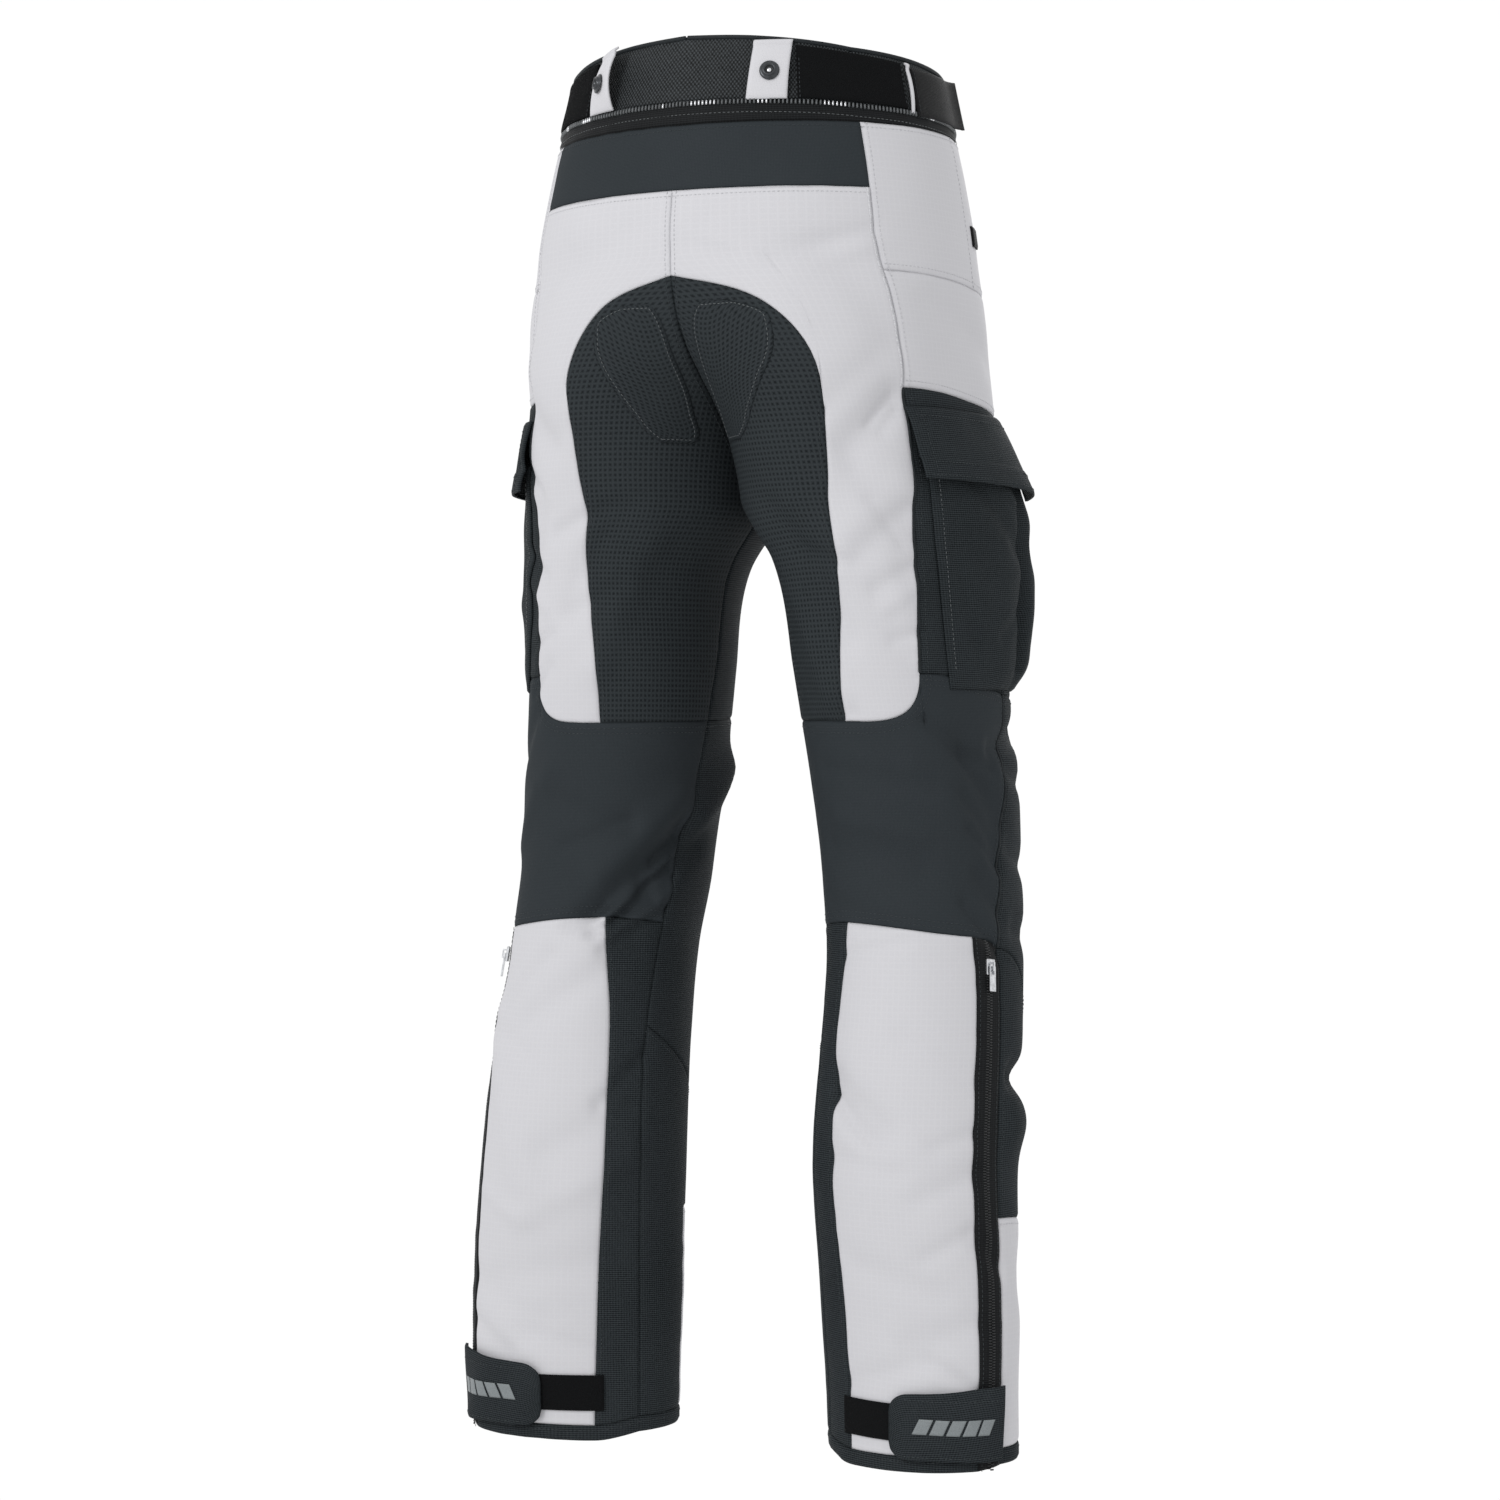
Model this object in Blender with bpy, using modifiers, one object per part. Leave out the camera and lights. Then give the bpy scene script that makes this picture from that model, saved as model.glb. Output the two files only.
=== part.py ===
"""Motorcycle trousers, worn but with no wearer, sewn from separate walls of cloth.

Metres, +Z up. The origin is the middle of the waist seam, the front faces -Y and the
wearer's left is +X. Every panel is a wall cut from one worn surface. That surface is
worked out from the sections, the rise seam and the stance below, and a place on it is an
angle round the body or leg, from straight back towards the outside, and a height.
"""

from collections import namedtuple
from math import radians

import bmesh
import bpy
import numpy as np
from mathutils import Matrix, Vector

COLLECTION = "motorcycle_trousers"
SIDES = ("left", "right")

# Cloth
CLOTH = 0.0016
BAND = 0.0030
PATCH = 0.0020
STRAP = 0.0022
SEAM_GAP = 0.0003
INSEAM_GAP = 0.0007
CENTRE_GAP = 0.0002
HALF_GAP_SHARE = 0.55

# Colours of the cloths and of the metal
GREY = (0.63, 0.63, 0.66)
DARK = (0.027, 0.034, 0.037)
BLACK = (0.010, 0.010, 0.012)
SILVER = (0.60, 0.61, 0.63)

# How square the sections are: 2 is an ellipse, more is squarer
SQUARENESS = 2.1
CROTCH = -0.290

# Worn form: half the gap between the legs, outer edge, depth behind and in front of the
# middle, and how far back the middle lies
Section = namedtuple("Section", "height gap outer back front middle")
SECTIONS = (
    Section(0.060, 0.000, 0.143, 0.112, 0.112, 0.000),
    Section(0.000, 0.000, 0.156, 0.125, 0.120, 0.000),
    Section(-0.050, 0.000, 0.168, 0.134, 0.124, 0.000),
    Section(-0.100, 0.000, 0.176, 0.140, 0.129, 0.000),
    Section(-0.150, 0.000, 0.180, 0.140, 0.134, -0.002),
    Section(-0.200, 0.000, 0.181, 0.136, 0.134, -0.006),
    Section(-0.250, 0.000, 0.184, 0.126, 0.126, -0.010),
    Section(CROTCH, 0.000, 0.187, 0.116, 0.114, -0.010),
    Section(-0.340, 0.028, 0.188, 0.106, 0.104, -0.010),
    Section(-0.420, 0.040, 0.194, 0.096, 0.098, -0.012),
    Section(-0.500, 0.050, 0.202, 0.086, 0.093, -0.016),
    Section(-0.580, 0.060, 0.206, 0.078, 0.093, -0.014),
    Section(-0.640, 0.066, 0.212, 0.074, 0.086, -0.006),
    Section(-0.720, 0.064, 0.220, 0.072, 0.070, 0.004),
    Section(-0.800, 0.062, 0.225, 0.068, 0.064, 0.012),
    Section(-0.900, 0.065, 0.231, 0.058, 0.054, 0.014),
    Section(-1.040, 0.068, 0.234, 0.052, 0.048, 0.014),
)

# Seam between the two sides: its depth as a share of the body's depth there
Rise = namedtuple("Rise", "height depth")
RISES = (
    Rise(-0.110, 1.00),
    Rise(-0.150, 0.97),
    Rise(-0.180, 0.87),
    Rise(-0.210, 0.66),
    Rise(-0.240, 0.46),
    Rise(-0.265, 0.29),
    Rise(-0.280, 0.16),
    Rise(CROTCH, 0.00),
)

# How each leg stands: moved out and back, turned out, and the cloth slid round it (degrees)
Stance = namedtuple("Stance", "height out back turn slide")
STANCES = {
    "left": (
        Stance(-0.100, 0.000, 0.000, 0, 0),
        Stance(-0.180, 0.000, 0.000, 0, -8),
        Stance(CROTCH, 0.000, 0.000, 0, -9),
        Stance(-0.400, 0.000, 0.002, 5, -5),
        Stance(-0.600, 0.000, 0.004, 8, 0),
        Stance(-0.800, 0.001, 0.006, 14, 0),
        Stance(-1.040, 0.002, 0.006, 20, 2),
    ),
    "right": (
        Stance(-0.100, 0.000, 0.000, 0, 0),
        Stance(-0.180, 0.000, 0.000, 0, 2),
        Stance(CROTCH, 0.000, 0.000, 0, 2),
        Stance(-0.400, 0.000, -0.002, 0, 1),
        Stance(-0.600, 0.000, -0.002, 4, 0),
        Stance(-0.800, -0.001, -0.002, 10, 0),
        Stance(-1.040, -0.002, -0.002, 16, 0),
    ),
}

# Long seams, as angles from straight back towards the outside (degrees)
Seam = namedtuple("Seam", "height seat stripe side inseam")
SEAMS = (
    Seam(0.060, 24, 52, 116, -90),
    Seam(-0.130, 24, 54, 118, -90),
    Seam(-0.180, 23, 54, 118, -90),
    Seam(-0.230, 16, 52, 118, -90),
    Seam(-0.300, 9, 48, 117, -90),
    Seam(-0.370, 1, 43, 112, -88),
    Seam(-0.450, -6, 39, 98, -80),
    Seam(-0.520, -11, 44, 92, -72),
    Seam(-0.580, -16, 54, 86, -66),
    Seam(-0.640, -22, 63, 83, -57),
    Seam(-0.700, -26, 65, 83, -50),
    Seam(-0.900, -20, 65, 84, -45),
    Seam(-1.040, -18, 64, 84, -44),
)
LONG_SEAMS = ("inseam", "seat", "stripe", "side")

# Cross seams: heights at the centre back or inseam, at the long seams, over the front and
# at the centre front or inseam
Cross = namedtuple("Cross", "name back seat stripe side shin front")
CROSSES = (
    Cross("top", 0.052, 0.048, 0.040, 0.028, 0.020, 0.015),
    Cross("zip", 0.002, 0.001, -0.002, -0.008, -0.012, -0.014),
    Cross("body", -0.016, -0.016, -0.016, -0.018, -0.022, -0.024),
    Cross("yoke", -0.066, -0.066, -0.066, -0.070, -0.080, -0.090),
    Cross("hip", -0.130, -0.232, -0.128, -0.138, -0.145, -0.150),
    Cross("flap", -0.222, -0.262, -0.215, -0.226, -0.228, -0.220),
    Cross("crotch", CROTCH, -0.300, -0.300, -0.300, -0.300, CROTCH),
    Cross("thigh", -0.462, -0.464, -0.428, -0.442, -0.455, -0.462),
    Cross("knee", -0.620, -0.615, -0.625, -0.634, -0.780, -0.700),
    Cross("shin", -0.830, -0.830, -0.835, -0.834, -0.850, -0.840),
    Cross("hem", -1.006, -1.012, -1.008, -1.004, -1.000, -1.006),
    Cross("end", -1.018, -1.024, -1.020, -1.016, -1.012, -1.018),
)
CROSS_PLACES = (0.0, 1.0, 2.0, 3.0, 3.5, 4.0)

# Round corners of the seat's arch and of the foot of the light stripe, with the powers of
# their curves along the seam and down from it, and the share of the drop that is straight
Corner = namedtuple("Corner", "name column along down straight")
CORNERS = (
    Corner("hip", 0, 5.0, 2.0, 0.20),
    Corner("thigh", 1, 4.0, 2.0, 0.0),
)
ROWS_BETWEEN = {
    "top": 3,
    "zip": 1,
    "body": 2,
    "yoke": 4,
    "hip": 4,
    "flap": 4,
    "crotch": 6,
    "thigh": 7,
    "knee": 7,
    "shin": 6,
    "hem": 1,
}

# Columns of the walls: a whole number is a long seam, and 4 is the front centre or inseam
FLY = 3.8
COLUMNS = (
    0.0, 0.20, 0.42, 0.64, 0.82, 0.93,
    1.0, 1.28, 1.56, 1.82,
    2.0, 2.17, 2.34, 2.5, 2.67, 2.84,
    3.0, 3.1, 3.2, 3.3, 3.4, 3.5, 3.6, 3.7, FLY, 3.9, 4.0,
)

# Largest folds: soft troughs and ridges along a line from one place to another
FOLD_RADIUS = 0.095
Fold = namedtuple("Fold", "side angle height to_angle to_height width depth")
FOLDS = (
    Fold("left", -66, -0.548, -10, -0.612, 0.013, -0.007),
    Fold("left", -60, -0.525, -14, -0.578, 0.016, 0.005),
    Fold("left", -82, -0.560, -42, -0.590, 0.010, -0.006),
    Fold("left", -110, -0.500, -80, -0.535, 0.016, 0.008),
    Fold("left", 20, -0.250, 48, -0.212, 0.014, -0.005),
    Fold("left", 60, -0.700, 20, -0.820, 0.020, 0.004),
    Fold("right", 24, -0.262, 50, -0.222, 0.014, -0.006),
    Fold("right", 12, -0.330, 44, -0.290, 0.018, 0.004),
    Fold("right", -30, -0.560, 30, -0.572, 0.016, -0.004),
    Fold("right", 60, -0.480, 84, -0.540, 0.014, -0.005),
    Fold("right", 84, -0.485, 128, -0.470, 0.011, -0.007),
    Fold("right", 98, -0.730, 160, -0.742, 0.012, -0.010),
    Fold("left", 98, -0.730, 160, -0.742, 0.012, -0.010),
    Fold("right", 100, -0.766, 160, -0.770, 0.020, 0.006),
    Fold("left", 100, -0.766, 160, -0.770, 0.020, 0.006),
    Fold("right", -24, -0.735, 10, -0.770, 0.014, -0.005),
    Fold("left", 84, -0.485, 128, -0.470, 0.011, -0.007),
    Fold("left", 130, -0.330, 200, -0.300, 0.016, -0.006),
    Fold("right", 130, -0.330, 200, -0.300, 0.016, -0.006),
    Fold("left", 150, -0.470, 220, -0.500, 0.014, -0.006),
    Fold("right", 150, -0.470, 220, -0.500, 0.014, -0.006),
    Fold("left", 120, -0.880, 200, -0.930, 0.018, -0.005),
    Fold("right", 120, -0.880, 200, -0.930, 0.018, -0.005),
)

# Cloth pieces: the blocks that each covers, as cross seams and columns
Block = namedtuple("Block", "upper lower start end")
SIDE_PANELS = {
    "waistband_front": (BLACK, BAND, (Block("top", "zip", 2, 4),)),
    "hip_upper": (GREY, CLOTH, (Block("body", "hip", 2, FLY),)),
    "hip_lower": (GREY, CLOTH, (Block("hip", "flap", 2, 4),)),
    "back_panel": (GREY, CLOTH, (Block("yoke", "hip", 0, 2), Block("hip", "thigh", 1, 2))),
    "seat_panel": (DARK, CLOTH, (Block("hip", "thigh", 0, 1),)),
    "pocket_side": (DARK, CLOTH, (Block("flap", "thigh", 2, 3),)),
    "front_thigh": (DARK, CLOTH, (Block("flap", "thigh", 3, 4),)),
    "knee_back": (DARK, CLOTH, (Block("thigh", "knee", 0, 3),)),
    "knee_front": (DARK, CLOTH, (Block("thigh", "knee", 3, 4),)),
    "calf": (GREY, CLOTH, (Block("knee", "hem", 1, 2),)),
    "inner_leg": (DARK, CLOTH, (Block("knee", "hem", 0, 1),)),
    "side_zip": (BLACK, CLOTH, (Block("knee", "end", 2, 3),)),
    "shin_upper": (DARK, CLOTH, (Block("knee", "shin", 3, 4), Block("shin", "hem", FLY, 4))),
    "shin_lower": (GREY, CLOTH, (Block("shin", "hem", 3, FLY),)),
    "hem_band": (DARK, CLOTH, (Block("hem", "end", 0, 2), Block("hem", "end", 3, 4))),
}
MIDDLE_PANELS = {
    "waistband_mesh": (BLACK, BAND, (Block("top", "zip", 0, 2),)),
    "waist_zip": (BLACK, CLOTH, (Block("zip", "body", 0, 4),)),
    "yoke": (DARK, CLOTH, (Block("body", "yoke", 0, 2),)),
    "fly": (GREY, CLOTH, (Block("body", "hip", FLY, 4),)),
}

# Trims laid on the panels: their edges by height, and how far they stand off
Edge = namedtuple("Edge", "height start end")
LIE = 0.0004

SEAT_PAD = (
    Edge(-0.150, 0.24, 0.42),
    Edge(-0.156, 0.18, 0.62),
    Edge(-0.164, 0.14, 0.73),
    Edge(-0.185, 0.12, 0.72),
    Edge(-0.208, 0.13, 0.65),
    Edge(-0.228, 0.17, 0.58),
    Edge(-0.246, 0.21, 0.50),
    Edge(-0.251, 0.26, 0.45),
)
SEAT_PAD_COLUMNS = 8
SEAT_PAD_LIFT = {"left": 0.0015, "right": 0.0021}

WAIST_PAD = (34, 72, -0.003, 0.036)
WAIST_STRAP = (76, 112, -0.008, 0.029)
STRAP_TIP = 0.007
STRAP_TIP_ANGLES = (102, 112)
HEM_PAD = (-22, 30, -1.000, -0.972)
HEM_STRAP = (10, 82, -1.0125, -0.9645)
POCKET_TAB = (101, 110, -0.100, -0.084)
LOOP_BACK = (20, 32, 0.000, 0.046)
LOOP_SIDE = (73, 75.4, -0.006, 0.033)
LOOP_BACK_BOW = 0.004
LOOP_SIDE_BOW = 0.003

# Cargo pocket: a bellows bag under a flap, from angle to angle
BAG_ANGLES = (56, 138)
Bag = namedtuple("Bag", "height shift depth")
BAG_ROWS = (
    Bag(-0.262, 0, 0.0100),
    Bag(-0.285, 0, 0.0172),
    Bag(-0.315, 0, 0.0240),
    Bag(-0.345, -1, 0.0252),
    Bag(-0.375, -3, 0.0235),
    Bag(-0.405, -6, 0.0185),
    Bag(-0.428, -9, 0.0110),
    Bag(-0.440, -11, 0.0010),
)
Lobe = namedtuple("Lobe", "across depth")
BAG_LOBES = (
    Lobe(0.00, 0.03),
    Lobe(0.12, 0.14),
    Lobe(0.30, 0.36),
    Lobe(0.48, 0.62),
    Lobe(0.58, 0.66),
    Lobe(0.66, 0.52),
    Lobe(0.74, 0.90),
    Lobe(0.84, 1.00),
    Lobe(0.94, 0.60),
    Lobe(1.00, 0.03),
)
FLAP_ANGLES = (51, 131)
FLAP_HEIGHTS = (-0.229, -0.283)
FLAP_DROP = 0.006
FLAP_LIFT = (0.0014, 0.0080, 0.0250)
FLAP_COLUMNS = 17
FLAP_ROWS = 5

# Press stud on each back loop, as a turned profile (radius, height)
STUD_ANGLE = 26
STUD_HEIGHT = 0.020
STUD_PROFILE = (
    (0.0, 0.0034),
    (0.0026, 0.0031),
    (0.0032, 0.0014),
    (0.0046, 0.0014),
    (0.0054, 0.0026),
    (0.0067, 0.0026),
    (0.0076, 0.0014),
    (0.0076, 0.0),
    (0.0, 0.0),
)
STUD_STEPS = 20

# Slider and pull tab of each leg zip
SLIDER_ANGLE = 74
SLIDER_HEIGHT = -0.648
SLIDER_SIZE = (0.0085, 0.0120, 0.0024)
BRIDGE_SIZE = (0.0016, 0.0072, 0.0034)
BRIDGE_BAR = 0.0011
PULL_BAR = 0.0011
PULL_AXIS_LIFT = 0.0010
PULL_SIZE = (0.0062, 0.0190)
PULL_WINDOW = (0.0032, 0.0052)
PULL_CORNER = 0.0014


def clear_scene():
    """Remove whatever the file opened with."""
    for item in list(bpy.data.objects):
        bpy.data.objects.remove(item, do_unlink=True)


def curve_through(x, places, values):
    """Cubic pieces through the points, with slopes held so that none overshoots."""
    places = np.asarray(places, float)
    values = np.asarray(values, float)
    if places[0] > places[-1]:
        places = places[::-1]
        values = values[::-1]
    x = np.clip(np.asarray(x, float), places[0], places[-1])
    step = np.diff(places)
    rate = np.diff(values) / step
    before = rate[:-1]
    after = rate[1:]
    mean = (before * step[1:] + after * step[:-1]) / (step[1:] + step[:-1])
    limit = 3 * np.minimum(np.abs(before), np.abs(after))
    inner = np.where(before * after > 0, np.sign(mean) * np.minimum(np.abs(mean), limit), 0.0)
    slope = np.concatenate([rate[:1], inner, rate[-1:]])
    i = np.clip(np.searchsorted(places, x, side="right") - 1, 0, len(places) - 2)
    h = step[i]
    t = (x - places[i]) / h
    return (
        (2 * t**3 - 3 * t**2 + 1) * values[i]
        + (t**3 - 2 * t**2 + t) * h * slope[i]
        + (3 * t**2 - 2 * t**3) * values[i + 1]
        + (t**3 - t**2) * h * slope[i + 1]
    )


def read(table, field, at, key="height"):
    """A table's field at the given places."""
    return curve_through(at, [getattr(row, key) for row in table], [getattr(row, field) for row in table])


def rounded(value):
    """Sine or cosine of a squarish section."""
    return np.sign(value) * np.abs(value) ** (2 / SQUARENESS)


def rise_depth(height):
    return np.clip(read(RISES, "depth", height), 0, 1)


def leg_frame(side, height):
    """Middle, half width and half depths of the section, and the stance, at a height."""
    outer = read(SECTIONS, "outer", height)
    depth = rise_depth(height)
    overlap = (1 - depth**SQUARENESS) ** (1 / SQUARENESS)
    inner = np.where(depth > 0, outer * (overlap - 1) / (overlap + 1), read(SECTIONS, "gap", height))
    return {
        "middle_x": (outer + inner) / 2 + read(STANCES[side], "out", height),
        "middle_y": read(SECTIONS, "middle", height) + read(STANCES[side], "back", height),
        "half_width": (outer - inner) / 2,
        "back": read(SECTIONS, "back", height),
        "front": read(SECTIONS, "front", height),
        "turn": np.radians(read(STANCES[side], "turn", height)),
    }


def smooth_point(side, angle, height):
    """Place on the worn surface before folds."""
    frame = leg_frame(side, height)
    sine = np.sin(np.radians(angle))
    cosine = np.cos(np.radians(angle))
    across = frame["half_width"] * rounded(sine)
    along = np.where(cosine > 0, frame["back"], frame["front"]) * rounded(cosine)
    x = frame["middle_x"] + across * np.cos(frame["turn"]) - along * np.sin(frame["turn"])
    y = frame["middle_y"] + across * np.sin(frame["turn"]) + along * np.cos(frame["turn"])
    sign = 1 if side == "left" else -1
    return np.stack([sign * x, y, height + 0 * x], axis=-1)


def slide_at(side, height):
    """Degrees that the cloth has slid round the leg."""
    return read(STANCES[side], "slide", height)


def rise_angle(height):
    """Angle of the centre back above the crotch, and of the inseam below it."""
    low = read(SEAMS, "inseam", height)
    above = -np.degrees(np.arccos(rise_depth(height) ** (SQUARENESS / 2)))
    return np.where(height > CROTCH, above, low)


def seam_angles(side, height):
    """Angles of the five long seams, from the centre back or inseam round to itself."""
    start = rise_angle(height)
    slide = slide_at(side, height)
    seat = read(SEAMS, "seat", height) + slide
    stripe = read(SEAMS, "stripe", height) + slide
    last = np.where(height > CROTCH, 180 - start, 360 + start)
    return np.stack([start, seat, stripe, read(SEAMS, "side", height), last])


def column_angle(side, column, height):
    """Angle of a column between the long seams, at a height."""
    column, height = np.broadcast_arrays(np.asarray(column, float), np.asarray(height, float))
    angles = seam_angles(side, height)
    low = np.clip(np.floor(column).astype(int), 0, 3)
    first = np.take_along_axis(angles, low[None], 0)[0]
    second = np.take_along_axis(angles, low[None] + 1, 0)[0]
    return first + (second - first) * (column - low)


def cross_height(name, column):
    """Height of a cross seam along its columns."""
    row = next(cross for cross in CROSSES if cross.name == name)
    column = np.asarray(column, float)
    height = curve_through(column, CROSS_PLACES, row[1:])
    for corner in CORNERS:
        if corner.name == name:
            way = np.clip(column - corner.column, 0, 1)
            share = 1 - (1 - way**corner.along) ** (1 / corner.down)
            share = corner.straight * way + (1 - corner.straight) * share
            places = (row.back, row.seat, row.stripe)
            first = places[corner.column]
            round_height = first + (places[corner.column + 1] - first) * share
            height = np.where((column > corner.column) & (column < corner.column + 1), round_height, height)
    return height


def fold_depth(side, angle, height):
    """Sum of the folds at a place, each a soft trough or ridge that fades at its ends."""
    total = np.zeros(np.broadcast(angle, height).shape)
    for fold in FOLDS:
        if fold.side != side:
            continue
        turn = (angle - fold.angle + 180) % 360 - 180
        across = np.radians(turn) * FOLD_RADIUS
        down = height - fold.height
        end = np.array([radians(fold.to_angle - fold.angle) * FOLD_RADIUS, fold.to_height - fold.height])
        length = np.hypot(*end)
        along = (across * end[0] + down * end[1]) / length
        aside = (across * end[1] - down * end[0]) / length
        past = np.clip(np.abs(along - length / 2) - length / 2, 0, None)
        total += fold.depth * np.exp(-((aside / fold.width) ** 2) - (past / fold.width) ** 2)
    return total


def surface(side, angle, height):
    """Places and outward directions on the worn surface, with its folds."""
    angle, height = np.broadcast_arrays(np.asarray(angle, float), np.asarray(height, float))
    nudge = 0.0005
    turn = 1.0
    point = smooth_point(side, angle, height)
    around = smooth_point(side, angle + turn, height) - smooth_point(side, angle - turn, height)
    up = smooth_point(side, angle, height + nudge) - smooth_point(side, angle, height - nudge)
    out = np.cross(up, around) * (1 if side == "left" else -1)
    out = out / np.linalg.norm(out, axis=-1, keepdims=True)
    out = rise_directions(angle, height, out)
    from_middle = np.clip((np.abs(point[..., 0]) - 0.004) / 0.03, 0, 1)
    depth = fold_depth(side, angle, height) * np.where(height > -0.33, from_middle, 1.0)
    return point + out * depth[..., None], out


def rise_directions(angle, height, out):
    """On the seam between the sides, the outward direction lies in the middle plane."""
    start = rise_angle(height)
    on_back = (height >= CROTCH) & (angle <= start + 0.01)
    on_front = (height >= CROTCH) & (angle >= 180 - start - 0.01)
    nudge = 0.001
    middle = read(SECTIONS, "middle", height)
    for here, field, sign in ((on_back, "back", 1), (on_front, "front", -1)):
        upper = rise_depth(height + nudge) * read(SECTIONS, field, height + nudge)
        lower = rise_depth(height - nudge) * read(SECTIONS, field, height - nudge)
        shift = read(SECTIONS, "middle", height + nudge) - read(SECTIONS, "middle", height - nudge)
        slope = (upper - lower + sign * shift) / (2 * nudge)
        seam = np.stack([0 * middle, sign + 0 * middle, -slope], axis=-1)
        seam = seam / np.linalg.norm(seam, axis=-1, keepdims=True)
        seam = np.where((height <= CROTCH)[..., None], np.array([0.0, 0.0, -1.0]), seam)
        out = np.where(here[..., None], seam, out)
    return out


def row_lines():
    """Every row of the walls as (cross seam above, share of the way to the next)."""
    lines = []
    names = [cross.name for cross in CROSSES]
    for name, following in zip(names, names[1:]):
        count = ROWS_BETWEEN[name]
        lines += [(name, following, step / count) for step in range(count)]
    lines.append((names[-1], names[-1], 0.0))
    return lines


def side_grid(side):
    """Places and directions of every row and column of one side."""
    columns = np.array(COLUMNS)
    heights = []
    for upper, lower, share in row_lines():
        top = cross_height(upper, columns)
        heights.append(top + (cross_height(lower, columns) - top) * share)
    heights = np.array(heights)
    angles = column_angle(side, np.broadcast_to(columns, heights.shape), heights)
    places, outs = surface(side, angles, heights)
    on_seam = (heights >= CROTCH) & ((columns == 0) | (columns == COLUMNS[-1]))
    places[..., 0] = np.where(on_seam, 0.0, places[..., 0])
    return places, outs


def block_cells(block):
    """Rows and columns of the cells in a block."""
    lines = row_lines()
    starts = {upper: i for i, (upper, lower, share) in enumerate(lines) if share == 0}
    rows = range(starts[block.upper], starts[block.lower])
    first = COLUMNS.index(block.start)
    last = COLUMNS.index(block.end)
    return [(row, column) for row in rows for column in range(first, last)]


def material(name, colour, metallic=0.0, roughness=0.85):
    """Principled material of one piece."""
    result = bpy.data.materials.new(name)
    result.use_nodes = True
    shader = result.node_tree.nodes["Principled BSDF"]
    shader.inputs["Base Color"].default_value = (*colour, 1.0)
    shader.inputs["Metallic"].default_value = metallic
    shader.inputs["Roughness"].default_value = roughness
    return result


def add_object(name, data, look):
    """Link an object with its own material into the trousers' collection."""
    item = bpy.data.objects.new(name, data)
    bpy.data.collections[COLLECTION].objects.link(item)
    item.data.materials.append(look)
    return item


def add_wall(name, outer, inner, faces, colour):
    """Closed wall between outer and inner points, its rim along the edges used once.

    The rim is split the same way on both sides of a seam, so that walls which twist there
    stay apart.
    """
    count = len(outer)
    edges = {}
    for face in faces:
        for a, b in zip(face, face[1:] + face[:1]):
            edges[(a, b)] = True
    rim = []
    for a, b in edges:
        if (b, a) in edges:
            continue
        if abs(outer[a][0]) + 2 * outer[a][2] > abs(outer[b][0]) + 2 * outer[b][2]:
            rim += [(b, a, b + count), (a, a + count, b + count)]
        else:
            rim += [(b, a, a + count), (b, a + count, b + count)]
    back = [tuple(index + count for index in reversed(face)) for face in faces]
    mesh = bpy.data.meshes.new(name)
    mesh.from_pydata([tuple(point) for point in [*outer, *inner]], [], [*faces, *back, *rim])
    mesh.update()
    return add_object(name, mesh, material(name, colour))


def add_panel(name, grids, sides, blocks, thickness, colour):
    """Wall over the cells of its blocks, drawn in from its edges by half a seam gap."""
    index = {}
    points = []
    outs = []
    gaps = []
    faces = []
    for side in sides:
        places, directions = grids[side]
        for row, column in [cell for block in blocks for cell in block_cells(block)]:
            corners = [(row, column), (row + 1, column), (row + 1, column + 1), (row, column + 1)]
            if side == "left":
                corners.reverse()
            face = []
            for corner in corners:
                key = tuple(np.round(places[corner], 6) + 0.0)
                if key not in index:
                    index[key] = len(points)
                    points.append(places[corner])
                    outs.append(directions[corner])
                    inseam = corner[1] in (0, len(COLUMNS) - 1) and places[corner][2] < CROTCH
                    gaps.append(INSEAM_GAP / 2 if inseam else SEAM_GAP * HALF_GAP_SHARE)
                face.append(index[key])
            faces.append(tuple(face))
    points = np.array(points)
    outs = np.array(outs)
    points = points + edge_inset(points, outs, gaps, faces, sides)
    add_wall(name, points, points - outs * thickness, faces, colour)


def edge_inset(points, outs, gaps, faces, sides):
    """Move that draws a panel's edge points in, square to its edges, by half a seam gap."""
    edges = set()
    for face in faces:
        edges.update(zip(face, face[1:] + face[:1]))
    inward = {}
    for a, b in edges:
        if (b, a) in edges:
            continue
        way = np.cross(outs[a] + outs[b], points[b] - points[a])
        way /= np.linalg.norm(way)
        inward.setdefault(a, []).append(way)
        inward.setdefault(b, []).append(way)
    move = np.zeros_like(points)
    for corner, (first, second) in inward.items():
        spread = max(1 + first @ second, 0.3)
        move[corner] = (first + second) / spread * gaps[corner]
        if len(sides) == 1 and abs(points[corner][0]) < CENTRE_GAP:
            move[corner][0] += CENTRE_GAP if sides[0] == "left" else -CENTRE_GAP
    return move


def add_sheet(name, side, angles, heights, lift, thickness, colour):
    """Trim laid on the surface: a wall over a grid of angles and heights, moved out."""
    places, outs = surface(side, angles, heights)
    rows, columns = places.shape[:2]
    lift = np.broadcast_to(lift, (rows, columns))[..., None]
    inner = (places + outs * lift).reshape(-1, 3)
    outer = (places + outs * (lift + thickness)).reshape(-1, 3)
    faces = []
    for row in range(rows - 1):
        for column in range(columns - 1):
            a = row * columns + column
            face = (a, a + columns, a + columns + 1, a + 1)
            faces.append(face if side == "right" else face[::-1])
    return add_wall(name, outer, inner, faces, colour)


def strip_grid(place, columns, rows):
    """Angles and heights of a plain strip, top row first."""
    start, end, low, high = place
    return np.meshgrid(np.linspace(start, end, columns), np.linspace(high, low, rows))


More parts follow.
